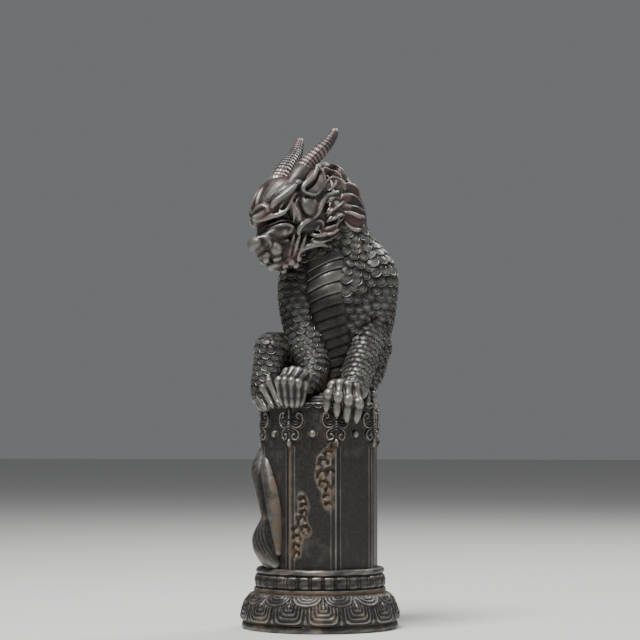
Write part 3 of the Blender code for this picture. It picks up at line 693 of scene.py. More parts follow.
def neighbour_mean(values, first, second, count, links):
    """Each point's mean over the points that it shares an edge with."""
    mean = np.empty_like(values)
    for axis in range(values.shape[1]):
        mean[:, axis] = np.bincount(first, values[second, axis], count)
        mean[:, axis] += np.bincount(second, values[first, axis], count)
    return mean / links[:, None]


def mark_lift(mesh, rounds, reach):
    """Stores in "lift" how far each point stands proud of its surroundings or lies back, 1 to -1."""
    points = points_of(mesh)
    count = len(points)
    normals = np.empty(count * 3, np.float32)
    mesh.vertex_normals.foreach_get("vector", normals)
    normals = normals.reshape(-1, 3)
    ends = np.empty(len(mesh.edges) * 2, np.int32)
    mesh.edges.foreach_get("vertices", ends)
    first, second = ends.reshape(-1, 2).T
    links = np.maximum(np.bincount(first, minlength=count) + np.bincount(second, minlength=count), 1)
    calm = points.copy()
    for _ in range(rounds):
        calm = 0.4 * calm + 0.6 * neighbour_mean(calm, first, second, count, links)
    lift = ((points - calm) * normals).sum(axis=1, keepdims=True) / (reach * MM)
    lift = 0.5 * lift + 0.5 * neighbour_mean(lift, first, second, count, links)
    store(mesh, "lift", np.clip(lift[:, 0], -1, 1))


def store(mesh, name, values):
    """Stores a number for each point, for a material to read."""
    attribute = mesh.attributes.get(name) or mesh.attributes.new(name, "FLOAT", "POINT")
    attribute.data.foreach_set("value", np.asarray(values, np.float32))


def settle(mesh, spots):
    """Stores in "dust" how much dust lies near each spot, given as (centre, radius, amount)."""
    points = points_of(mesh) / MM
    dust = np.zeros(len(points))
    for centre, radius, amount in spots:
        gaps = np.linalg.norm(points - np.array(figure_matrix() @ Vector(centre)), axis=1)
        dust = np.maximum(dust, amount * np.clip(1.4 - gaps / radius, 0, 1))
    store(mesh, "dust", dust)


def finish_piece(name, mesh, sharp_degrees=50):
    """Puts a piece in the statue in place of its solid."""
    old = bpy.data.objects.get(name)
    if old:
        bpy.data.objects.remove(old)
    group = bpy.data.collections.get(GROUP)
    if group is None:
        group = bpy.data.collections.new(GROUP)
        bpy.context.scene.collection.children.link(group)
    mesh.materials.clear()
    mesh.materials.append(patina(name))
    mesh.shade_smooth()
    mesh.set_sharp_from_angle(angle=math.radians(sharp_degrees))
    piece = bpy.data.objects.new(name, mesh)
    group.objects.link(piece)
    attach(piece, "root")
    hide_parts(NODE)
    return piece


def round_skin(name, columns, rows, place):
    """A closed skin round the centre line: a grid rolled up, its seam merged and both its ends filled.

    place takes each point's column and row as arrays and returns its x, y and z in millimetres, and how
    much dust has settled there.
    """
    bm = bmesh.new()
    bmesh.ops.create_grid(bm, x_segments=columns, y_segments=rows - 1, size=0.5)
    mesh = bpy.data.meshes.new(name)
    bm.to_mesh(mesh)
    flat = points_of(mesh)
    column = np.rint((flat[:, 0] + 0.5) * columns).astype(int) % columns
    row = np.rint((0.5 - flat[:, 1]) * (rows - 1)).astype(int)
    *placed, dust = place(column, row)
    mesh.vertices.foreach_set("co", (np.stack(placed, axis=1) * MM).astype(np.float32).ravel())
    store(mesh, "dust", dust)
    bm.clear()
    bm.from_mesh(mesh)
    bmesh.ops.remove_doubles(bm, verts=bm.verts, dist=1e-6)
    rims = [edge for edge in bm.edges if edge.is_boundary]
    bmesh.ops.holes_fill(bm, edges=rims, sides=0)
    bpy.data.meshes.remove(mesh)
    return mesh_of(name, bm)


# ---------------------------------------------------------------- finishes

def new_material(name):
    """A fresh material with nodes, in place of any of the same name."""
    old = bpy.data.materials.get(name)
    if old:
        bpy.data.materials.remove(old)
    material = bpy.data.materials.new(name)
    material.use_nodes = True
    return material


# The colour sockets of a Mix node, whose names are shared by its other types.
MIX_ONE = 6
MIX_OTHER = 7
MIX_RESULT = 2


# The finish of each piece, as (its material, the colour that mottles its dark skin, how bright that is,
# its share, how much the high points are rubbed, how dusty the low ones are, how deep the grain is, and
# its scale upright, which draws it out below 1).
FINISHES = {
    "beast_body": ("hide_brass", "dust", 1, 0.4, 0.3, 0.7, 0.5, 1),
    "belly_plates": ("plate_brass", "dark", 1, 0.75, 0, 0.5, 0.5, 1),
    "scales": ("scale_brass", "verdigris", 1, 0.6, 0.6, 0.5, 0.5, 0.25),
    "paws": ("paw_brass", "verdigris", 1, 0.3, 0.75, 0.5, 0.5, 1),
    "tail": ("tail_brass", "dust", 1, 0.4, 0.55, 0.4, 0.5, 1),
    "head": ("face_brass", "rust", 1, 0.45, 0.6, 0.45, 0.5, 1),
    "mane": ("mane_brass", "rust", 1, 0.9, 0.5, 0.5, 0.5, 1),
    "horns": ("horn_brass", "rust", 1, 0.8, 0.45, 0.4, 0.5, 1),
    "column": ("column_brass", "dark", 1.5, 0.3, 0.3, 0.75, 0.8, 1),
    "lotus_foot": ("foot_brass", "dust", 1, 0.35, 0.45, 0.65, 0.5, 1),
}


def patina(piece):
    """Old brass: a dark mottled skin, rubbed bright where it stands proud, darkened with painted shade and
    dusty where it lies back.
    """
    name, colour, brightness, tint_share, polish, dusty, grain, streak = FINISHES[piece]
    colours = bpy.context.scene.qilin_patina
    tint = tuple(brightness * value for value in getattr(colours, colour))
    material = new_material(name)
    nodes = material.node_tree.nodes
    links = material.node_tree.links
    shader = nodes["Principled BSDF"]
    place = nodes.new("ShaderNodeTexCoord").outputs["Object"]

    def noise(scale, detail, roughness=0.55):
        """Blotches or grain, by scale."""
        node = nodes.new("ShaderNodeTexNoise")
        links.new(place, node.inputs["Vector"])
        node.inputs["Scale"].default_value = scale
        node.inputs["Detail"].default_value = detail
        node.inputs["Roughness"].default_value = roughness
        return node.outputs["Fac"]

    def ranged(source, low, high, to_low=0.0, to_high=1.0):
        """The source carried smoothly from one range to another."""
        node = nodes.new("ShaderNodeMapRange")
        node.interpolation_type = "SMOOTHSTEP"
        links.new(source, node.inputs["Value"])
        node.inputs["From Min"].default_value = low
        node.inputs["From Max"].default_value = high
        node.inputs["To Min"].default_value = to_low
        node.inputs["To Max"].default_value = to_high
        return node.outputs["Result"]

    def math_node(operation, one, other):
        """A sum on sockets or numbers."""
        node = nodes.new("ShaderNodeMath")
        node.operation = operation
        for socket, value in zip(node.inputs, (one, other)):
            if isinstance(value, (int, float)):
                socket.default_value = value
            else:
                links.new(value, socket)
        return node.outputs[0]

    def mixed(share, one, other):
        """One colour with a share of another over it."""
        node = nodes.new("ShaderNodeMix")
        node.data_type = "RGBA"
        links.new(share, node.inputs["Factor"])
        for socket, value in ((node.inputs[MIX_ONE], one), (node.inputs[MIX_OTHER], other)):
            if isinstance(value, tuple):
                socket.default_value = (*value, 1)
            else:
                links.new(value, socket)
        return node.outputs[MIX_RESULT]

    def stored(label):
        """A number stored on the mesh."""
        node = nodes.new("ShaderNodeAttribute")
        node.attribute_name = label
        return node.outputs["Fac"]

    lift = stored("lift")
    sunk = math_node("MULTIPLY", lift, -1)
    blotches = noise(110, 5)
    speckle = noise(900, 3, 0.65)
    uneven = math_node("ADD", lift, math_node("MULTIPLY", math_node("SUBTRACT", blotches, 0.5), 0.9))

    dark = tuple(colours.dark)
    deeper = tuple(0.45 * value for value in dark)
    skin = mixed(ranged(speckle, 0.35, 0.7), deeper, dark)
    skin = mixed(ranged(blotches, 0.62 - 0.3 * tint_share, 0.75 - 0.2 * tint_share), skin, tint)
    # painted shade: where the surface lies back the skin is darkened towards a fifth of the patina's colour
    painted_recess_shade = math_node("MULTIPLY", ranged(sunk, 0.05, 0.6), 0.8)
    skin = mixed(painted_recess_shade, skin, tuple(0.2 * value for value in dark))
    worn = math_node("MULTIPLY", ranged(uneven, 0.3 - 0.5 * polish, 1.3 - 0.5 * polish), 0.8)
    skin = mixed(worn, skin, tuple(colours.bare))
    dirt = ranged(sunk, 0.9 - 0.75 * dusty, 1.5 - 0.75 * dusty)
    settled = ranged(math_node("ADD", stored("dust"), math_node("MULTIPLY", blotches, 0.6)), 0.7, 1.0)
    dirt = math_node("MAXIMUM", dirt, settled)
    patchy = math_node("MULTIPLY", dirt, ranged(speckle, 0.3, 0.55, 0.55, 1))
    skin = mixed(patchy, skin, tuple(colours.dust))
    links.new(skin, shader.inputs["Base Color"])

    rough = math_node("ADD", math_node("MULTIPLY", worn, -0.12), ranged(speckle, 0.3, 0.75, 0.38, 0.52))
    links.new(math_node("ADD", rough, math_node("MULTIPLY", dirt, 0.35)), shader.inputs["Roughness"])
    metal = math_node("ADD", math_node("MULTIPLY", worn, 0.35), 0.3)
    links.new(math_node("SUBTRACT", metal, math_node("MULTIPLY", dirt, 0.3)), shader.inputs["Metallic"])

    bump = nodes.new("ShaderNodeBump")
    bump.inputs["Strength"].default_value = grain
    bump.inputs["Distance"].default_value = 0.00012
    drawn = nodes.new("ShaderNodeMapping")
    drawn.inputs["Scale"].default_value = (1, 1, streak)
    links.new(place, drawn.inputs["Vector"])
    place = drawn.outputs["Vector"]
    links.new(noise(1500, 3, 0.6), bump.inputs["Height"])
    links.new(bump.outputs["Normal"], shader.inputs["Normal"])
    return material


# ---------------------------------------------------------------- the column and its foot

def line_distance(x, z, line):
    """How far each point lies from a line through smoothed points."""
    run = np.array(smooth_rows(line, 5))
    best = np.full(x.shape, 1e9)
    for (ax, az), (bx, bz) in zip(run, run[1:]):
        dx, dz = bx - ax, bz - az
        share = np.clip(((x - ax) * dx + (z - az) * dz) / (dx * dx + dz * dz + 1e-12), 0, 1)
        best = np.minimum(best, np.hypot(x - ax - share * dx, z - az - share * dz))
    return best


def ridge(distance, half_width):
    """A rounded ridge, 1 on its line and 0 at its half width and beyond."""
    return np.clip(1 - (distance / half_width) ** 2, 0, 1) ** 0.75


def swell(x, z, centre_x, centre_z, half_x, half_z):
    """A rounded bump, 1 at its centre and 0 at its edge."""
    return np.clip(1 - ((x - centre_x) / half_x) ** 2 - ((z - centre_z) / half_z) ** 2, 0, 1)


def eased(value, low, high):
    """0 up to low and 1 from high on, with a smooth run between."""
    share = np.clip((value - low) / (high - low), 0, 1)
    return share * share * (3 - 2 * share)


def lappet_relief(x, z):
    """The cloud-headed lappet over a corner: two tiers of nested scrolls, a spear and a drop."""
    upper = eased(swell(x, z, 3.1, 90.6, 3.1, 3.4), 0, 0.2)
    lower = eased(swell(x, z, 2, 85, 2.4, 2.8), 0, 0.2)
    plate = 0.55 * np.maximum(upper, lower)
    lines = np.maximum.reduce([
        1.35 * ridge(line_distance(x, z, UPPER_SCROLL), 0.66),
        1.15 * ridge(line_distance(x, z, UPPER_MIDDLE), 0.5),
        1.05 * ridge(line_distance(x, z, UPPER_INNER), 0.45),
        1.3 * ridge(line_distance(x, z, LOWER_SCROLL), 0.62),
        1.1 * ridge(line_distance(x, z, LOWER_MIDDLE), 0.45),
        1.25 * ridge(line_distance(x, z, SPEAR), 0.75),
        1.5 * np.sqrt(swell(x, z, 0, 81, 1.5, 2)),
    ])
    return np.maximum(plate, lines)


def nodule_gap(across, height):
    """How far each point lies outside the nearest nodule of the flaws."""
    gap = np.full(across.shape, 9.0)
    for x, z, size in NODULES:
        gap = np.minimum(gap, np.hypot(across - x, height - z) - size)
    return gap


def front_flaws(across, height):
    """Ragged pits nearly filled by nodules."""
    ragged = 0.22 * np.sin(2.1 * height + across) + 0.18 * np.sin(3.1 * across - 1.3 * height)
    # each pit reaches past its nodule's upper left side
    pits = -1.5 * eased(0.95 + ragged - nodule_gap(across + 0.35, height - 0.7), 0, 1)
    bumps = np.zeros(across.shape)
    for x, z, size in NODULES:
        bumps = np.maximum(bumps, (0.8 + 0.3 * size) * np.sqrt(swell(across, height, x, z, size, size)))
    return pits + bumps


def face_relief(across, height, front):
    """A face of the shaft: a trough down each corner, lappets, a stud and, at the front, the flaws."""
    corner = HALF_SIDE - np.abs(across)
    relief = 0.2 * (1 - (across / HALF_SIDE) ** 2)
    relief -= 0.42 * eased(2 - corner, 0, 0.4)
    relief += 0.3 * ridge(corner, 0.7) + 0.2 * ridge(np.abs(corner - 2.15), 0.45)
    ornament = lappet_relief(corner, height)
    relief = np.where(ornament > 0.02, np.maximum(relief, -0.2) * 0.4 + ornament, relief)
    relief += 1.6 * np.sqrt(swell(across, height, 0, STUD_Z, 1.7, 1.8))
    return relief + np.where(front, front_flaws(across, height), 0)


def column_skin():
    """The shaft, its ornament, the scalloped rim and the stepped slope of the seat, as one skin."""
    heights = np.concatenate([np.linspace(*rows) for rows in COLUMN_ROWS])

    def place(column, row):
        height = heights[row]
        face = column // FACE_COLUMNS
        across = ((column % FACE_COLUMNS + 0.5) / FACE_COLUMNS * 2 - 1) * HALF_SIDE
        relief = face_relief(across, height, face == FRONT_FACE)
        # the scalloped rim, a double line round each lobe
        lobe = np.abs(np.sin(math.pi * RIM_LOBES_A_FACE * (across / HALF_SIDE + 1) / 2))
        above = height - (RIM_Z - 1.9 * lobe**0.6)
        rim = 0.95 * eased(above, -0.05, 0.25) - 0.5 * ridge(np.abs(above - 0.95), 0.3)
        rim -= 0.35 * ridge(np.abs(above - 1.75), 0.25)
        relief = np.where(above > -0.1, rim, relief)
        # above the rim the faces draw in and lose their corners, in shallow steps
        share = np.clip((height - SLOPE_Z) / (SEAT_Z - SLOPE_Z), 0, 1)
        bearing = np.arctan2(across, APOTHEM)
        octagon = (APOTHEM + relief * (1 - share)) / np.cos(bearing)
        drawn = share**0.85
        radius = (1 - drawn) * octagon + drawn * SEAT_RADIUS + 0.22 * np.sin(share * 30) * (share > 0)
        azimuth = face * 2 * HALF_FACE_ANGLE + bearing + COLUMN_TURN
        # dust lies down the corners, most at one of them, and round the flaws
        corner = HALF_SIDE - np.abs(across)
        apart = np.abs((azimuth - DUSTY_CORNER + math.pi) % (2 * math.pi) - math.pi)
        dustier = np.where(apart < 0.2, 0.25, 0)
        trough = ridge(corner, 2.4) * (0.35 + dustier) * eased(82 - height, 0, 4)
        round_flaws = 0.57 * eased(2.3 - nodule_gap(across, height), 0, 0.8)
        flaws = np.where(face == FRONT_FACE, round_flaws, 0)
        dust = np.maximum(trough, flaws) + 0.3 * eased(height, 74, 86)
        return radius * np.cos(azimuth), radius * np.sin(azimuth), height, dust

    return round_skin("column", FACES * FACE_COLUMNS, len(heights), place)


def resampled(profile, spacing):
    """Points evenly spaced along a profile."""
    points = np.array(profile, float)
    lengths = np.concatenate([[0], np.cumsum(np.hypot(*np.diff(points, axis=0).T))])
    at = np.linspace(0, lengths[-1], int(lengths[-1] / spacing) + 1)
    return np.stack([np.interp(at, lengths, points[:, axis]) for axis in (0, 1)], axis=1)


def petal_relief(share, height):
    """Nested square ridges on an upright petal, and arcs on the half petals over the joints."""
    x = share * PETAL_HALF_WIDTH
    depth = PETAL_TOP - height
    square = (np.abs(x) ** 5 + np.clip(0.9 * depth, 0, None) ** 5) ** 0.2
    inside = eased(PETAL_EDGE - square, 0, 0.3)
    rings = 0.5 + 0.5 * np.cos(2 * math.pi * (square - 6.1) / PETAL_RING)
    relief = inside * (0.25 + 0.75 * rings)
    relief += 0.8 * np.sqrt(swell(x, height, 0, 10.7, 0.8, 1.3))
    gap = PETAL_HALF_WIDTH - np.abs(x)
    splay = 0.35 + 0.09 * np.clip(depth, 0, 8)
    relief += (1 - inside) * 0.55 * ridge(gap, splay)
    relief *= eased(height, 3.4, 4.2)
    drop = np.clip(HALF_PETAL_TOP - height, 0, None) / HALF_PETAL_DROP
    arc = ((gap / HALF_PETAL_WIDTH) ** 2.4 + drop**2.4) ** (1 / 2.4)
    over = eased(1.04 - arc, 0, 0.12) * eased(15.4 - height, 0, 0.6)
    arcs = 0.5 + 0.5 * np.cos(2 * math.pi * (arc - 0.88) / HALF_PETAL_ARC)
    return np.maximum(relief * (1 - over), over * (0.75 + 0.5 * arcs))


def flute_relief(turn, height):
    """Shallow upright lobes, with a thin double line between each two."""
    share = np.abs((turn * FLUTES) % 1 * 2 - 1)
    lobe = 0.4 * (1 - share**2)
    lines = 0.26 * ridge(np.abs(share - 0.9), 0.08) - 0.2 * ridge(np.abs(share - 0.78), 0.07)
    band = eased(height, 18, 18.6) * eased(23.8 - height, 0, 0.7)
    return band * (lobe + lines)


def foot_skin():
    """Torus, flutes, ledge, petals and rebate, as one skin."""
    columns = PETALS * PETAL_COLUMNS
    run = resampled(FOOT_PROFILE, PROFILE_SPACING)
    outward = np.gradient(run, axis=0)
    normal = np.stack([-outward[:, 1], outward[:, 0]], axis=1)
    normal /= np.linalg.norm(normal, axis=1, keepdims=True)

    def place(column, row):
        turn = column / columns
        azimuth = PETAL_START + turn * 2 * math.pi
        radius, height = run[row].T
        share = np.abs((turn * PETALS + 0.5) % 1 - 0.5) * 2
        petals = PETAL_RISE * petal_relief(share, height)
        relief = np.where(height < LEDGE_Z, petals, flute_relief(turn, height))
        relief += 0.06 * np.sin(7 * azimuth + height) + 0.05 * np.sin(19 * azimuth - 2 * height)
        radius = radius + normal[row, 0] * relief
        height = height + normal[row, 1] * relief
        dust = 0.6 * np.sqrt(swell(row * 0, height, 0, 16.3, 1, 2.2))
        dust = dust + 0.3 * ridge(np.abs(height - 23.8), 0.8)
        return radius * np.cos(azimuth), radius * np.sin(azimuth), np.maximum(height, 0), dust

    return round_skin("lotus_foot", columns, len(run), place)


# ---------------------------------------------------------------- the beast

def beast_body():
    """Torso, neck, legs and pads melted together."""
    bm = bmesh.new()
    for rows in (TORSO, NAPE, LEFT_FORELEG, RIGHT_FORELEG, RIGHT_SHIN, LEFT_SHIN):
        form(bm, rows)
    form(bm, RIGHT_THIGH, side=UP)
    form(bm, LEFT_THIGH, side=UP)
    sweep(bm, rounded_rows(smooth_rows(BELLY, 6)), 28)
    ball(bm, SEAT_FILL[0], SEAT_FILL[1])
    bmesh.ops.transform(bm, matrix=figure_matrix(), verts=bm.verts)
    return melted("beast_body", bm, bpy.context.scene.qilin_form.skin_voxel, 4)


def even_rows(rows, count):
    """The rows spread evenly along their run."""
    run = np.array(smooth_rows(rows, 12))
    steps = np.linalg.norm(np.diff(run[:, :3], axis=0), axis=1)
    lengths = np.concatenate([[0], np.cumsum(steps)])
    at = np.linspace(0, lengths[-1], count)
    return np.stack([np.interp(at, lengths, run[:, axis]) for axis in range(5)], axis=1).tolist()


def belly_plates():
    """Plates down the chest, each with its lower edge lapped over the next and rounded."""
    count = bpy.context.scene.qilin_form.belly_plates
    run = even_rows(BELLY, count * PLATE_STEPS + 1)
    rows = []
    for plate in range(count):
        for share, rise in PLATE_PROFILE:
            x, y, z, wide, deep = run[round((plate + share) * PLATE_STEPS)]
            rows.append((x, y, z, wide + rise, deep + rise))
    bm = bmesh.new()
    sweep(bm, rows, 56)
    for vert in bm.verts:
        across = vert.co.x / MM - BELLY[3][0]
        vert.co.z += (0.24 * across - 0.012 * across * across) * MM
    bmesh.ops.transform(bm, matrix=figure_matrix(), verts=bm.verts)
    return mesh_of("belly_plates", bm)


def paint_shade_down_belly(mesh):
    """Lowers "lift" on the plates below the chest, which darkens them with painted shade and leaves them less
    rubbed bright.
    """
    lift = np.empty(len(mesh.vertices), np.float32)
    mesh.attributes["lift"].data.foreach_get("value", lift)
    depth = -points_of(mesh)[:, 2] / MM
    store(mesh, "lift", lift - 0.7 * eased(depth, -150, -138))


def digit(bm, pad, first, second, tip, thick):
    """A digit with two swollen knuckles and a blunt claw."""
    points = [Vector(pad).lerp(Vector(first), 0.45), Vector(first), Vector(second), Vector(tip)]
    rows = []
    for here, after in zip(points, points[1:]):
        for share, girth in ((0, 1.1), (0.35, 0.9), (0.65, 0.9)):
            rows.append((*here.lerp(after, share), thick * girth, thick * girth))
    rows.append((*tip, thick * 0.8, thick * 0.8))
    form(bm, rows, 16)
    ball(bm, first, (thick * 1.15, thick * 1.2, thick * 1.3), 14)
    ball(bm, second, (thick * 1.18, thick * 1.25, thick * 1.4), 14)
    down = (points[3] - points[2]).normalized()
    claw = (
        (*(points[3] - thick * 0.4 * down + 0.5 * FRONT), thick * 0.72, thick * 0.72),
        (*(points[3] + thick * 0.6 * down + 0.6 * FRONT), thick * 0.6, thick * 0.6),
        (*(points[3] + thick * 1.25 * down), thick * 0.34, thick * 0.34),
    )
    form(bm, claw, 10)


def paws():
    """Every paw, its pad and digits melted together."""
    bm = bmesh.new()
    for centre, radii, thick, digits in PAWS:
        ball(bm, centre, radii)
        for first, second, tip in digits:
            digit(bm, centre, first, second, tip, thick)
    bmesh.ops.transform(bm, matrix=figure_matrix(), verts=bm.verts)
    return melted("paws", bm, PAW_VOXEL, 2)


def tail():
    """The tail down the column, the metal behind it, and its tuft of fine strands."""
    bm = bmesh.new()
    form(bm, TAIL)
    form(bm, TAIL_WEB)
    form(bm, TAIL_TUFT)
    top = TAIL_TUFT[0][2]
    for number in range(TUFT_STRANDS):
        turn = 2 * math.pi * number / TUFT_STRANDS
        points = []
        for x, y, z, wide, deep in TAIL_TUFT:
            around = turn + 0.06 * (top - z)
            points.append((x + wide * math.cos(around), y + deep * math.sin(around), z))
        strand(bm, points, 0.66, 0.4)
    bmesh.ops.transform(bm, matrix=figure_matrix(), verts=bm.verts)
    return melted("tail", bm, TAIL_VOXEL, 1)


def ear(bm, hand):
    """The left ear if hand is 1 and the right ear if it is -1."""
    for line, middle, end in ((EAR_FRONT, 1.2, 0.8), (EAR_LIP, 0.75, 0.7)):
        strand(bm, [(x, hand * y, z) for x, y, z in line], middle, end, LEFT)
    for rows in (EAR_LOBE, EAR_BACK):
        form(bm, [(x, hand * y, z, wide, deep) for x, y, z, wide, deep in rows], 16, UP)


def skull_strand(bm, across):
    """A strand of hair from between the horns over the back of the skull."""
    points = []
    for step in range(8):
        turn = math.radians(68 - 14 * step)
        drift = across * (6 + 1.1 * step) + 0.5 * math.sin(1.7 * step + 5 * across)
        girth = math.sqrt(max(1 - (drift / 15) ** 2, 0.1))
        points.append((-18.3 * math.cos(turn) * girth, drift, 13.9 * math.sin(turn) * girth))
    strand(bm, points, 1, 0.5, FRONT)


def lock_facing(hand):
    """Which way one side of the head faces: the left for 1 and the right for -1."""
    return Vector((LOCK_FACING.x, hand * LOCK_FACING.y, LOCK_FACING.z))


def laid(point, skin, away, reach):
    """The point moved along away, either way, to the outer side of the skin if that is in reach."""
    hit = skin.ray_cast((point + 20 * away) * MM, -away, 40 * MM)[0]
    return hit / MM if hit and (hit / MM - point).length < reach else point


def calmed(points):
    """The points, each moved to the mean of itself and up to two on each side."""
    means = []
    for at in range(len(points)):
        near = points[max(at - 2, 0):at + 3]
        means.append(sum(near, Vector()) / len(near))
    return means


def head_skin():
    """The face: masses, brows, cheeks, lips, ribbons and ears, melted together."""
    bm = bmesh.new()
    for (x, y, z), radii, paired in FACE_MASSES:
        for hand in (1, -1) if paired else (1,):
            ball(bm, (x, hand * y, z), radii)
    for rows in (FOREHEAD, SNOUT, JAW):
        form(bm, rows, side=FRONT)
    for rows_of in (list, mirrored):
        for rows in (BROW, NOSE_WING, TEMPLE):
            form(bm, rows_of(rows), side=UP)
    skin = BVHTree.FromBMesh(bm)
    for hand in (1, -1):
        away = lock_facing(hand)
        for points, middle, end in STRANDS:
            run = [laid(Vector((x, hand * y, z)), skin, away, 2.4) for x, y, z in smooth_rows(points, 4)]
            strand(bm, calmed(run)[::2], 1.2 * middle, 1.05 * end)
        for (x, y, z), radius in BEARD_CURLS:
            ball(bm, (x, hand * y, z), (radius, radius, radius), 12)
        ear(bm, hand)
    for number in range(SKULL_STRANDS):
        skull_strand(bm, 2 * number / (SKULL_STRANDS - 1) - 1)
    bmesh.ops.transform(bm, matrix=figure_matrix() @ head_matrix(), verts=bm.verts)
    return melted("head", bm, bpy.context.scene.qilin_form.head_voxel, 3)


def lock(bm, points, half_width, strands, skin, away):
    """A lock of strands laid on the skin: a leaf if it has few, a bundle if it has many."""
    rows = [(*laid(point, skin, away, 9), 0, 0) for point in points]
    run = [Vector(row[:3]) for row in smooth_rows(rows, 4)]
    side = (run[-1] - run[0]).cross(away).normalized()
    last = len(run) - 1
    swellings = [math.sin(math.pi * (0.14 + 0.8 * index / last)) ** 0.6 for index in range(last + 1)]
    cup, girth, sunk = LEAF_LOCK if strands < BUNDLE_STRANDS else BUNDLE_LOCK
    thick = girth * half_width / strands
    bed = [
        (*(point - sunk * half_width * away), 0.95 * half_width * swelling, 0.42 * half_width * swelling)
        for point, swelling in zip(run, swellings)
    ]
    sweep(bm, rounded_rows(bed, 3), 16, side)
    for number in range(strands):
        share = 2 * number / (strands - 1) - 1
        line = [
            point + share * half_width * swelling * side + cup * share * share * half_width * away
            for point, swelling in zip(run, swellings)
        ]
        strand(bm, line, thick * (1 + max(cup, 0) * abs(share)), 0.6 * thick)


def mane():
    """The locks over the cheeks, the nape and the back of the neck."""
    depsgraph = bpy.context.evaluated_depsgraph_get()
    bm = bmesh.new()
    under = bmesh.new()
    for name in ("head", "beast_body"):
        under.from_object(bpy.data.objects[name], depsgraph)
    skin = BVHTree.FromBMesh(under)
    under.free()
    figure = figure_matrix().to_3x3()
    head = figure_matrix() @ head_matrix()
    turned = head.to_3x3()
    for points, half_width, strands in LOCKS:
        for hand in (1, -1):
            placed = [head @ (Vector((x, hand * y, z)) * MM) / MM for x, y, z in points]
            lock(bm, placed, half_width, strands, skin, turned @ lock_facing(hand))
    for number in range(NAPE_LOCKS):
        turn = math.radians(-10 + 205 * number / (NAPE_LOCKS - 1))
        away = figure @ Vector((math.cos(turn), math.sin(turn), 0))
        placed = []
        for x, y, z, wide, deep in reversed(NAPE):
            sway = 0.12 * math.sin(0.35 * z + 2 * number)
            placed.append(figure @ Vector((
                x + wide * math.cos(turn + sway), y + deep * math.sin(turn + sway), z - 3 * (number % 2),
            )))
        lock(bm, placed, NAPE_LOCK_WIDTH, NAPE_LOCK_STRANDS, skin, away)
    return melted("mane", bm, MANE_VOXEL, 1)


def horn(bm, rows):
    """A horn of many fine rings, each broken into beads."""
    run = smooth_rows(rows, 60)
    steps = RING_STEPS * HORN_RINGS
    picked = []
    for step in range(steps + 1):
        x, y, z, wide, deep = run[round(step / steps * (len(run) - 1))]
        fading = min(1, 1.6 - 1.3 * step / steps)
        swelling = 1 + 0.035 * math.cos(2 * math.pi * step / RING_STEPS) * fading
        picked.append((x, y, z, wide * swelling, deep * swelling))
    sweep(bm, rounded_rows(picked, 5), 4 * HORN_BEADS, FRONT, HORN_BEADS, BEAD_DEPTH)


def horns():
    """Both horns, and the fold under the root of one."""
    bm = bmesh.new()
    horn(bm, LEFT_HORN)
    horn(bm, RIGHT_HORN)
    strand(bm, COLLAR, 0.8, 0.5)
    bmesh.ops.transform(bm, matrix=figure_matrix() @ head_matrix(), verts=bm.verts)
    return mesh_of("horns", bm)


# ---------------------------------------------------------------- scales

def scale_pattern():
    """One scale, 1 wide, with its free edge towards -y, a raised rim and a low crown."""
    bm = bmesh.new()
    bmesh.ops.create_circle(bm, cap_ends=True, segments=12, radius=0.54)
    for vert in bm.verts:
        vert.co.y *= 0.94 if vert.co.y < 0 else 1.1
    crown = bm.faces[:][0]
    for thickness, rise in ((0.045, 0.1), (0.06, -0.05), (0.18, 0.07)):
        bmesh.ops.inset_individual(bm, faces=[crown], thickness=thickness)
        for vert in crown.verts:
            vert.co.z += rise
    skirt = bmesh.ops.extrude_edge_only(bm, edges=[edge for edge in bm.edges if edge.is_boundary])["geom"]
    for vert in (element for element in skirt if isinstance(element, bmesh.types.BMVert)):
        vert.co.z -= 0.22
        vert.co.xy *= 0.92
    bmesh.ops.holes_fill(bm, edges=[edge for edge in bm.edges if edge.is_boundary], sides=0)
    bmesh.ops.recalc_face_normals(bm, faces=bm.faces)
    return bm


# How far each ring of a scale's points counts as standing proud, by its height; the skirt's low value paints
# shade into the gap under each scale.
SCALE_LIFT_AND_SHADE = {-0.22: -0.9, 0: 0.2, 0.1: 0.75, 0.05: 0.1, 0.12: 0.5}
# Scales reach from the seat to the mane.
SCALES_FROM = 101
SCALES_TO = 177
# Those that fill the gaps between the forms grow from one height to the other.
SMALL_SCALES_Z = 104
LARGE_SCALES_Z = 150
# How far apart scales lie, in widths: ring from ring, round a ring, and least of all.
RING_STEP = 0.6
AROUND_STEP = 0.9
RING_SPACING = 0.72
FILL_SPACING = 0.7
# Pieces that scales keep clear of.
BARE = ("belly_plates", "paws", "head", "mane")
# Each scaled form: its rows, the axis it is swept about, whether its scales point along its rows,
# and their widths at its first and last rows in shares of the way from a leg's to a shoulder's.
SCALED = (
    (LEFT_FORELEG, LEFT, 1, 1.0, 0.0),
    (RIGHT_FORELEG, LEFT, 1, 0.9, 0.0),
    (RIGHT_SHIN, LEFT, 1, 0.3, 0.0),
    (LEFT_SHIN, LEFT, 1, 0.3, 0.0),
    (RIGHT_THIGH, UP, 1, 0.6, 0.3),
    (LEFT_THIGH, UP, 1, 0.6, 0.3),
    (TORSO, LEFT, -1, 0.3, 0.7),
)


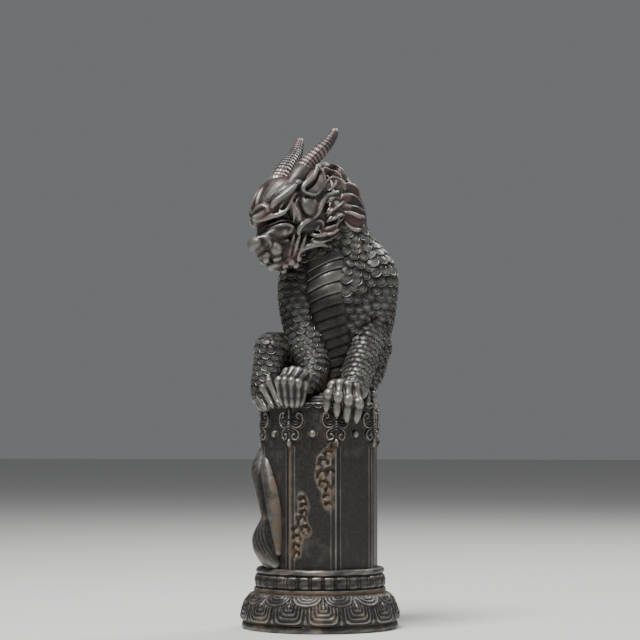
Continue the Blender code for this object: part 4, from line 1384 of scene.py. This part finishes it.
class ScaleField:
    """The places taken by scales on the skin, kept clear of the bare pieces."""

    def __init__(self, skin, bare):
        self.skin = skin
        self.bare = bare
        self.cells = {}
        self.placed = []

    def add(self, point, normal, along, width, spacing):
        """Takes a place for a scale unless it is hidden, bare or too near another."""
        if not SCALES_FROM < point.z / MM < SCALES_TO:
            return
        for tree in self.bare:
            near, facing, _, gap = tree.find_nearest(point, 4 * MM)
            if near is not None and (gap < 0.4 * MM or (point - near).dot(facing) < 0):
                return
        cell = [math.floor(value / (3 * MM)) for value in point]
        for number in range(27):
            key = (cell[0] + number % 3 - 1, cell[1] + number // 3 % 3 - 1, cell[2] + number // 9 - 1)
            for other in self.cells.get(key, ()):
                gap = other - point
                run = gap.dot(along)
                if math.sqrt(gap.length_squared + 1.2 * run * run) < spacing * width:
                    return
        self.cells.setdefault(tuple(cell), []).append(point)
        self.placed.append((point, normal, along, width))


def scale_width(share):
    """The width of a scale, from a leg's for a share of 0 to a shoulder's for 1."""
    sizes = bpy.context.scene.qilin_form
    return sizes.leg_scale + (sizes.shoulder_scale - sizes.leg_scale) * share


def rows_of_scales(field, rows, side, way, first_share, last_share):
    """Staggered rings of scales along one form."""
    turn = figure_matrix()
    run = rounded_rows(smooth_rows(rows, 30), 6)
    frames = station_frames(run, side)
    travelled = 0.0
    ring = 0
    for index in range(1, len(frames)):
        travelled += (frames[index].translation - frames[index - 1].translation).length
        width = scale_width(first_share + (last_share - first_share) * index / (len(frames) - 1))
        if travelled < RING_STEP * width:
            continue
        travelled = 0.0
        ring += 1
        station = turn @ frames[index]
        around = math.pi * (run[index][3] + run[index][4]) * MM
        count = max(round(around / (AROUND_STEP * width)), 5)
        along = way * (station.to_3x3() @ UP).normalized()
        for number in range(count):
            angle = 2 * math.pi * (number + 0.5 * (ring % 2)) / count
            point = station @ Vector((math.cos(angle), math.sin(angle), 0))
            outward = (point - station.translation).normalized()
            hit, normal, _, _ = field.skin.ray_cast(point + 4 * MM * outward, -outward, 9 * MM)
            if hit is None or (hit - point).length > 2.2 * MM or normal.dot(outward) < 0.2:
                continue
            field.add(hit, normal, along, width, RING_SPACING)


def fill_with_scales(field, body):
    """Scales over whatever skin the rings left bare, from the top down."""
    growth = LARGE_SCALES_Z - SMALL_SCALES_Z
    for vert in sorted(body.vertices, key=lambda vert: (-round(vert.co.z, 3), vert.co.x, vert.co.y)):
        share = min(max((vert.co.z / MM - SMALL_SCALES_Z) / growth, 0), 1)
        if abs(vert.normal.z) < 0.9:
            field.add(vert.co.copy(), vert.normal.copy(), -UP, scale_width(share), FILL_SPACING)


def scales():
    """Every scale laid on the skin, root under the one above, free edge over the one below."""
    depsgraph = bpy.context.evaluated_depsgraph_get()
    skin = BVHTree.FromObject(bpy.data.objects["beast_body"], depsgraph)
    bare = [BVHTree.FromObject(bpy.data.objects[name], depsgraph) for name in BARE]
    field = ScaleField(skin, bare)
    for form_of_scales in SCALED:
        rows_of_scales(field, *form_of_scales)
    fill_with_scales(field, bpy.data.objects["beast_body"].data)
    pattern = scale_pattern()
    pattern.verts.ensure_lookup_table()
    template = bpy.data.meshes.new("scale_pattern")
    pattern.to_mesh(template)
    shape = [vert.co.copy() for vert in pattern.verts]
    bm = bmesh.new()
    lifts = []
    for hit, normal, along, width in field.placed:
        down = (along - normal * along.dot(normal)).normalized()
        across = down.cross(normal)
        bm.from_mesh(template)
        bm.verts.ensure_lookup_table()
        fresh = bm.verts[len(bm.verts) - len(shape):]
        for vert, local in zip(fresh, shape):
            base = hit + width * (local.x * across - local.y * down)
            near, facing, _, _ = skin.find_nearest(base)
            if near is None:
                near, facing = base, normal
            slide = base - near
            level = width * (local.z - 0.14 * local.y)
            vert.co = near + facing * level + 0.5 * (slide - slide.dot(facing) * facing)
            # the root half, under the free edge of the scale above, is lowered further: a painted shadow of
            # that scale
            lifts.append(SCALE_LIFT_AND_SHADE[round(local.z, 3)] - 2.4 * max(local.y + 0.05, 0))
    mesh = mesh_of("scales", bm)
    bpy.data.meshes.remove(template)
    pattern.free()
    store(mesh, "lift", lifts)
    settle(mesh, DUST_SPOTS)
    return mesh


# ---------------------------------------------------------------- operators

class QilinOperator:
    """What every operator shares."""

    bl_options = {"REGISTER", "UNDO"}


class QILIN_OT_body(QilinOperator, bpy.types.Operator):
    """Model the body and the plates of the chest"""

    bl_idname = "qilin.body"
    bl_label = "Body"

    def execute(self, context):
        body = beast_body()
        mark_lift(body, rounds=20, reach=0.5)
        settle(body, DUST_SPOTS)
        finish_piece("beast_body", body)
        plates = belly_plates()
        mark_lift(plates, rounds=6, reach=0.25)
        # the plates below the chest get painted shade
        paint_shade_down_belly(plates)
        settle(plates, DUST_SPOTS)
        finish_piece("belly_plates", plates)
        return {"FINISHED"}


class QILIN_OT_scales(QilinOperator, bpy.types.Operator):
    """Lay the scales over the body"""

    bl_idname = "qilin.scales"
    bl_label = "Scales"

    def execute(self, context):
        finish_piece("scales", scales(), sharp_degrees=60)
        return {"FINISHED"}


class QILIN_OT_paws(QilinOperator, bpy.types.Operator):
    """Model the paws and the tail"""

    bl_idname = "qilin.paws"
    bl_label = "Paws and Tail"

    def execute(self, context):
        feet = paws()
        mark_lift(feet, rounds=30, reach=0.35)
        settle(feet, DUST_SPOTS)
        finish_piece("paws", feet)
        rear = tail()
        mark_lift(rear, rounds=30, reach=0.35)
        settle(rear, TAIL_DUST)
        finish_piece("tail", rear)
        return {"FINISHED"}


class QILIN_OT_head(QilinOperator, bpy.types.Operator):
    """Model the face, the mane and the horns"""

    bl_idname = "qilin.head"
    bl_label = "Head"

    def execute(self, context):
        face = head_skin()
        mark_lift(face, rounds=24, reach=0.35)
        finish_piece("head", face)
        hair = mane()
        mark_lift(hair, rounds=16, reach=0.25)
        finish_piece("mane", hair)
        pair = horns()
        mark_lift(pair, rounds=8, reach=0.12)
        finish_piece("horns", pair)
        return {"FINISHED"}


class QILIN_OT_column(QilinOperator, bpy.types.Operator):
    """Model the column with its lappets, studs, rim and flaws"""

    bl_idname = "qilin.column"
    bl_label = "Column"

    def execute(self, context):
        shaft = column_skin()
        mark_lift(shaft, rounds=14, reach=0.3)
        finish_piece("column", shaft)
        return {"FINISHED"}


class QILIN_OT_foot(QilinOperator, bpy.types.Operator):
    """Model the torus, the flutes and the lotus petals"""

    bl_idname = "qilin.foot"
    bl_label = "Lotus Foot"

    def execute(self, context):
        base = foot_skin()
        mark_lift(base, rounds=14, reach=0.3)
        finish_piece("lotus_foot", base)
        return {"FINISHED"}


# The stage: sizes and places in metres, and the lens and its sensor in millimetres.
FLOOR_SIZE = 6
FLOOR_ROUGHNESS = 0.85
WORLD_COLOUR = (0.8, 0.82, 0.85, 1)
WORLD_STRENGTH = 0.2
LIGHT_AIM = Vector((0, 0, 0.12))
# Each light is its name, azimuth, elevation, distance, size and share of the key light's power.
LIGHTS = (
    ("key", -25, 67, 0.9, 0.35, 1),
    ("fill", 75, 20, 1.1, 0.5, 0.12),
    ("rim", 150, 45, 1.0, 0.35, 0.4),
)
CAMERA_HEIGHT = 84.4 * MM
CAMERA_TILT = math.radians(93.29)
LENS_LENGTH = 112.5
SENSOR_WIDTH = 36


class QILIN_OT_stage(QilinOperator, bpy.types.Operator):
    """Set the floor, the lights and the camera"""

    bl_idname = "qilin.stage"
    bl_label = "Stage"

    def execute(self, context):
        scene = context.scene
        settings = scene.qilin_stage
        bm = bmesh.new()
        bmesh.ops.create_grid(bm, x_segments=1, y_segments=1, size=FLOOR_SIZE)
        floor = bpy.data.objects.new("floor", mesh_of("floor", bm))
        scene.collection.objects.link(floor)
        paper = new_material("floor_paper")
        shader = paper.node_tree.nodes["Principled BSDF"]
        shader.inputs["Base Color"].default_value = (*settings.floor, 1)
        shader.inputs["Roughness"].default_value = FLOOR_ROUGHNESS
        floor.data.materials.append(paper)

        world = bpy.data.worlds.new("studio")
        world.use_nodes = True
        background = world.node_tree.nodes["Background"]
        background.inputs["Color"].default_value = WORLD_COLOUR
        background.inputs["Strength"].default_value = WORLD_STRENGTH
        scene.world = world

        for name, azimuth, elevation, distance, size, share in LIGHTS:
            light = bpy.data.lights.new(name, "AREA")
            light.size = size
            light.energy = settings.key_power * share
            lamp = bpy.data.objects.new(name, light)
            scene.collection.objects.link(lamp)
            turn = math.radians(azimuth)
            rise = math.radians(elevation)
            level = math.cos(rise)
            place = Vector((math.sin(turn) * level, -math.cos(turn) * level, math.sin(rise)))
            lamp.location = LIGHT_AIM + distance * place
            lamp.rotation_euler = place.to_track_quat("Z", "Y").to_euler()

        camera = bpy.data.objects.new("camera", bpy.data.cameras.new("camera"))
        scene.collection.objects.link(camera)
        distance = settings.camera_distance
        camera.location = (
            math.sin(FIGURE_TURN) * distance, -math.cos(FIGURE_TURN) * distance, CAMERA_HEIGHT,
        )
        camera.rotation_euler = (CAMERA_TILT, 0, FIGURE_TURN)
        camera.data.lens = LENS_LENGTH
        camera.data.sensor_width = SENSOR_WIDTH
        scene.camera = camera
        return {"FINISHED"}


OPERATORS = (
    QILIN_OT_foot,
    QILIN_OT_column,
    QILIN_OT_body,
    QILIN_OT_paws,
    QILIN_OT_head,
    QILIN_OT_scales,
    QILIN_OT_stage,
)


class QILIN_PT_panel(bpy.types.Panel):
    """Everything that makes the statue"""

    bl_label = "Brass Qilin"
    bl_idname = "QILIN_PT_panel"
    bl_space_type = "VIEW_3D"
    bl_region_type = "UI"
    bl_category = "Qilin"

    def draw(self, context):
        for group in (context.scene.qilin_form, context.scene.qilin_patina, context.scene.qilin_stage):
            box = self.layout.box()
            for name in group.__annotations__:
                box.prop(group, name)
        for operator in OPERATORS:
            self.layout.operator(operator.bl_idname)


GROUPS = (("qilin_form", QilinForm), ("qilin_patina", QilinPatina), ("qilin_stage", QilinStage))


def register():
    """Adds the settings, the operators and the panel to Blender."""
    for name, group in GROUPS:
        bpy.utils.register_class(group)
        setattr(bpy.types.Scene, name, bpy.props.PointerProperty(type=group))
    for operator in OPERATORS:
        bpy.utils.register_class(operator)
    bpy.utils.register_class(QILIN_PT_panel)


def unregister():
    """Takes away what register added."""
    bpy.utils.unregister_class(QILIN_PT_panel)
    for operator in reversed(OPERATORS):
        bpy.utils.unregister_class(operator)
    for name, group in reversed(GROUPS):
        delattr(bpy.types.Scene, name)
        bpy.utils.unregister_class(group)


def main():
    """Models the statue and its stage."""
    register()
    bpy.ops.qilin.foot()
    bpy.ops.qilin.column()
    bpy.ops.qilin.body()
    bpy.ops.qilin.paws()
    bpy.ops.qilin.head()
    bpy.ops.qilin.scales()
    bpy.ops.qilin.stage()


if __name__ == "__main__":
    main()
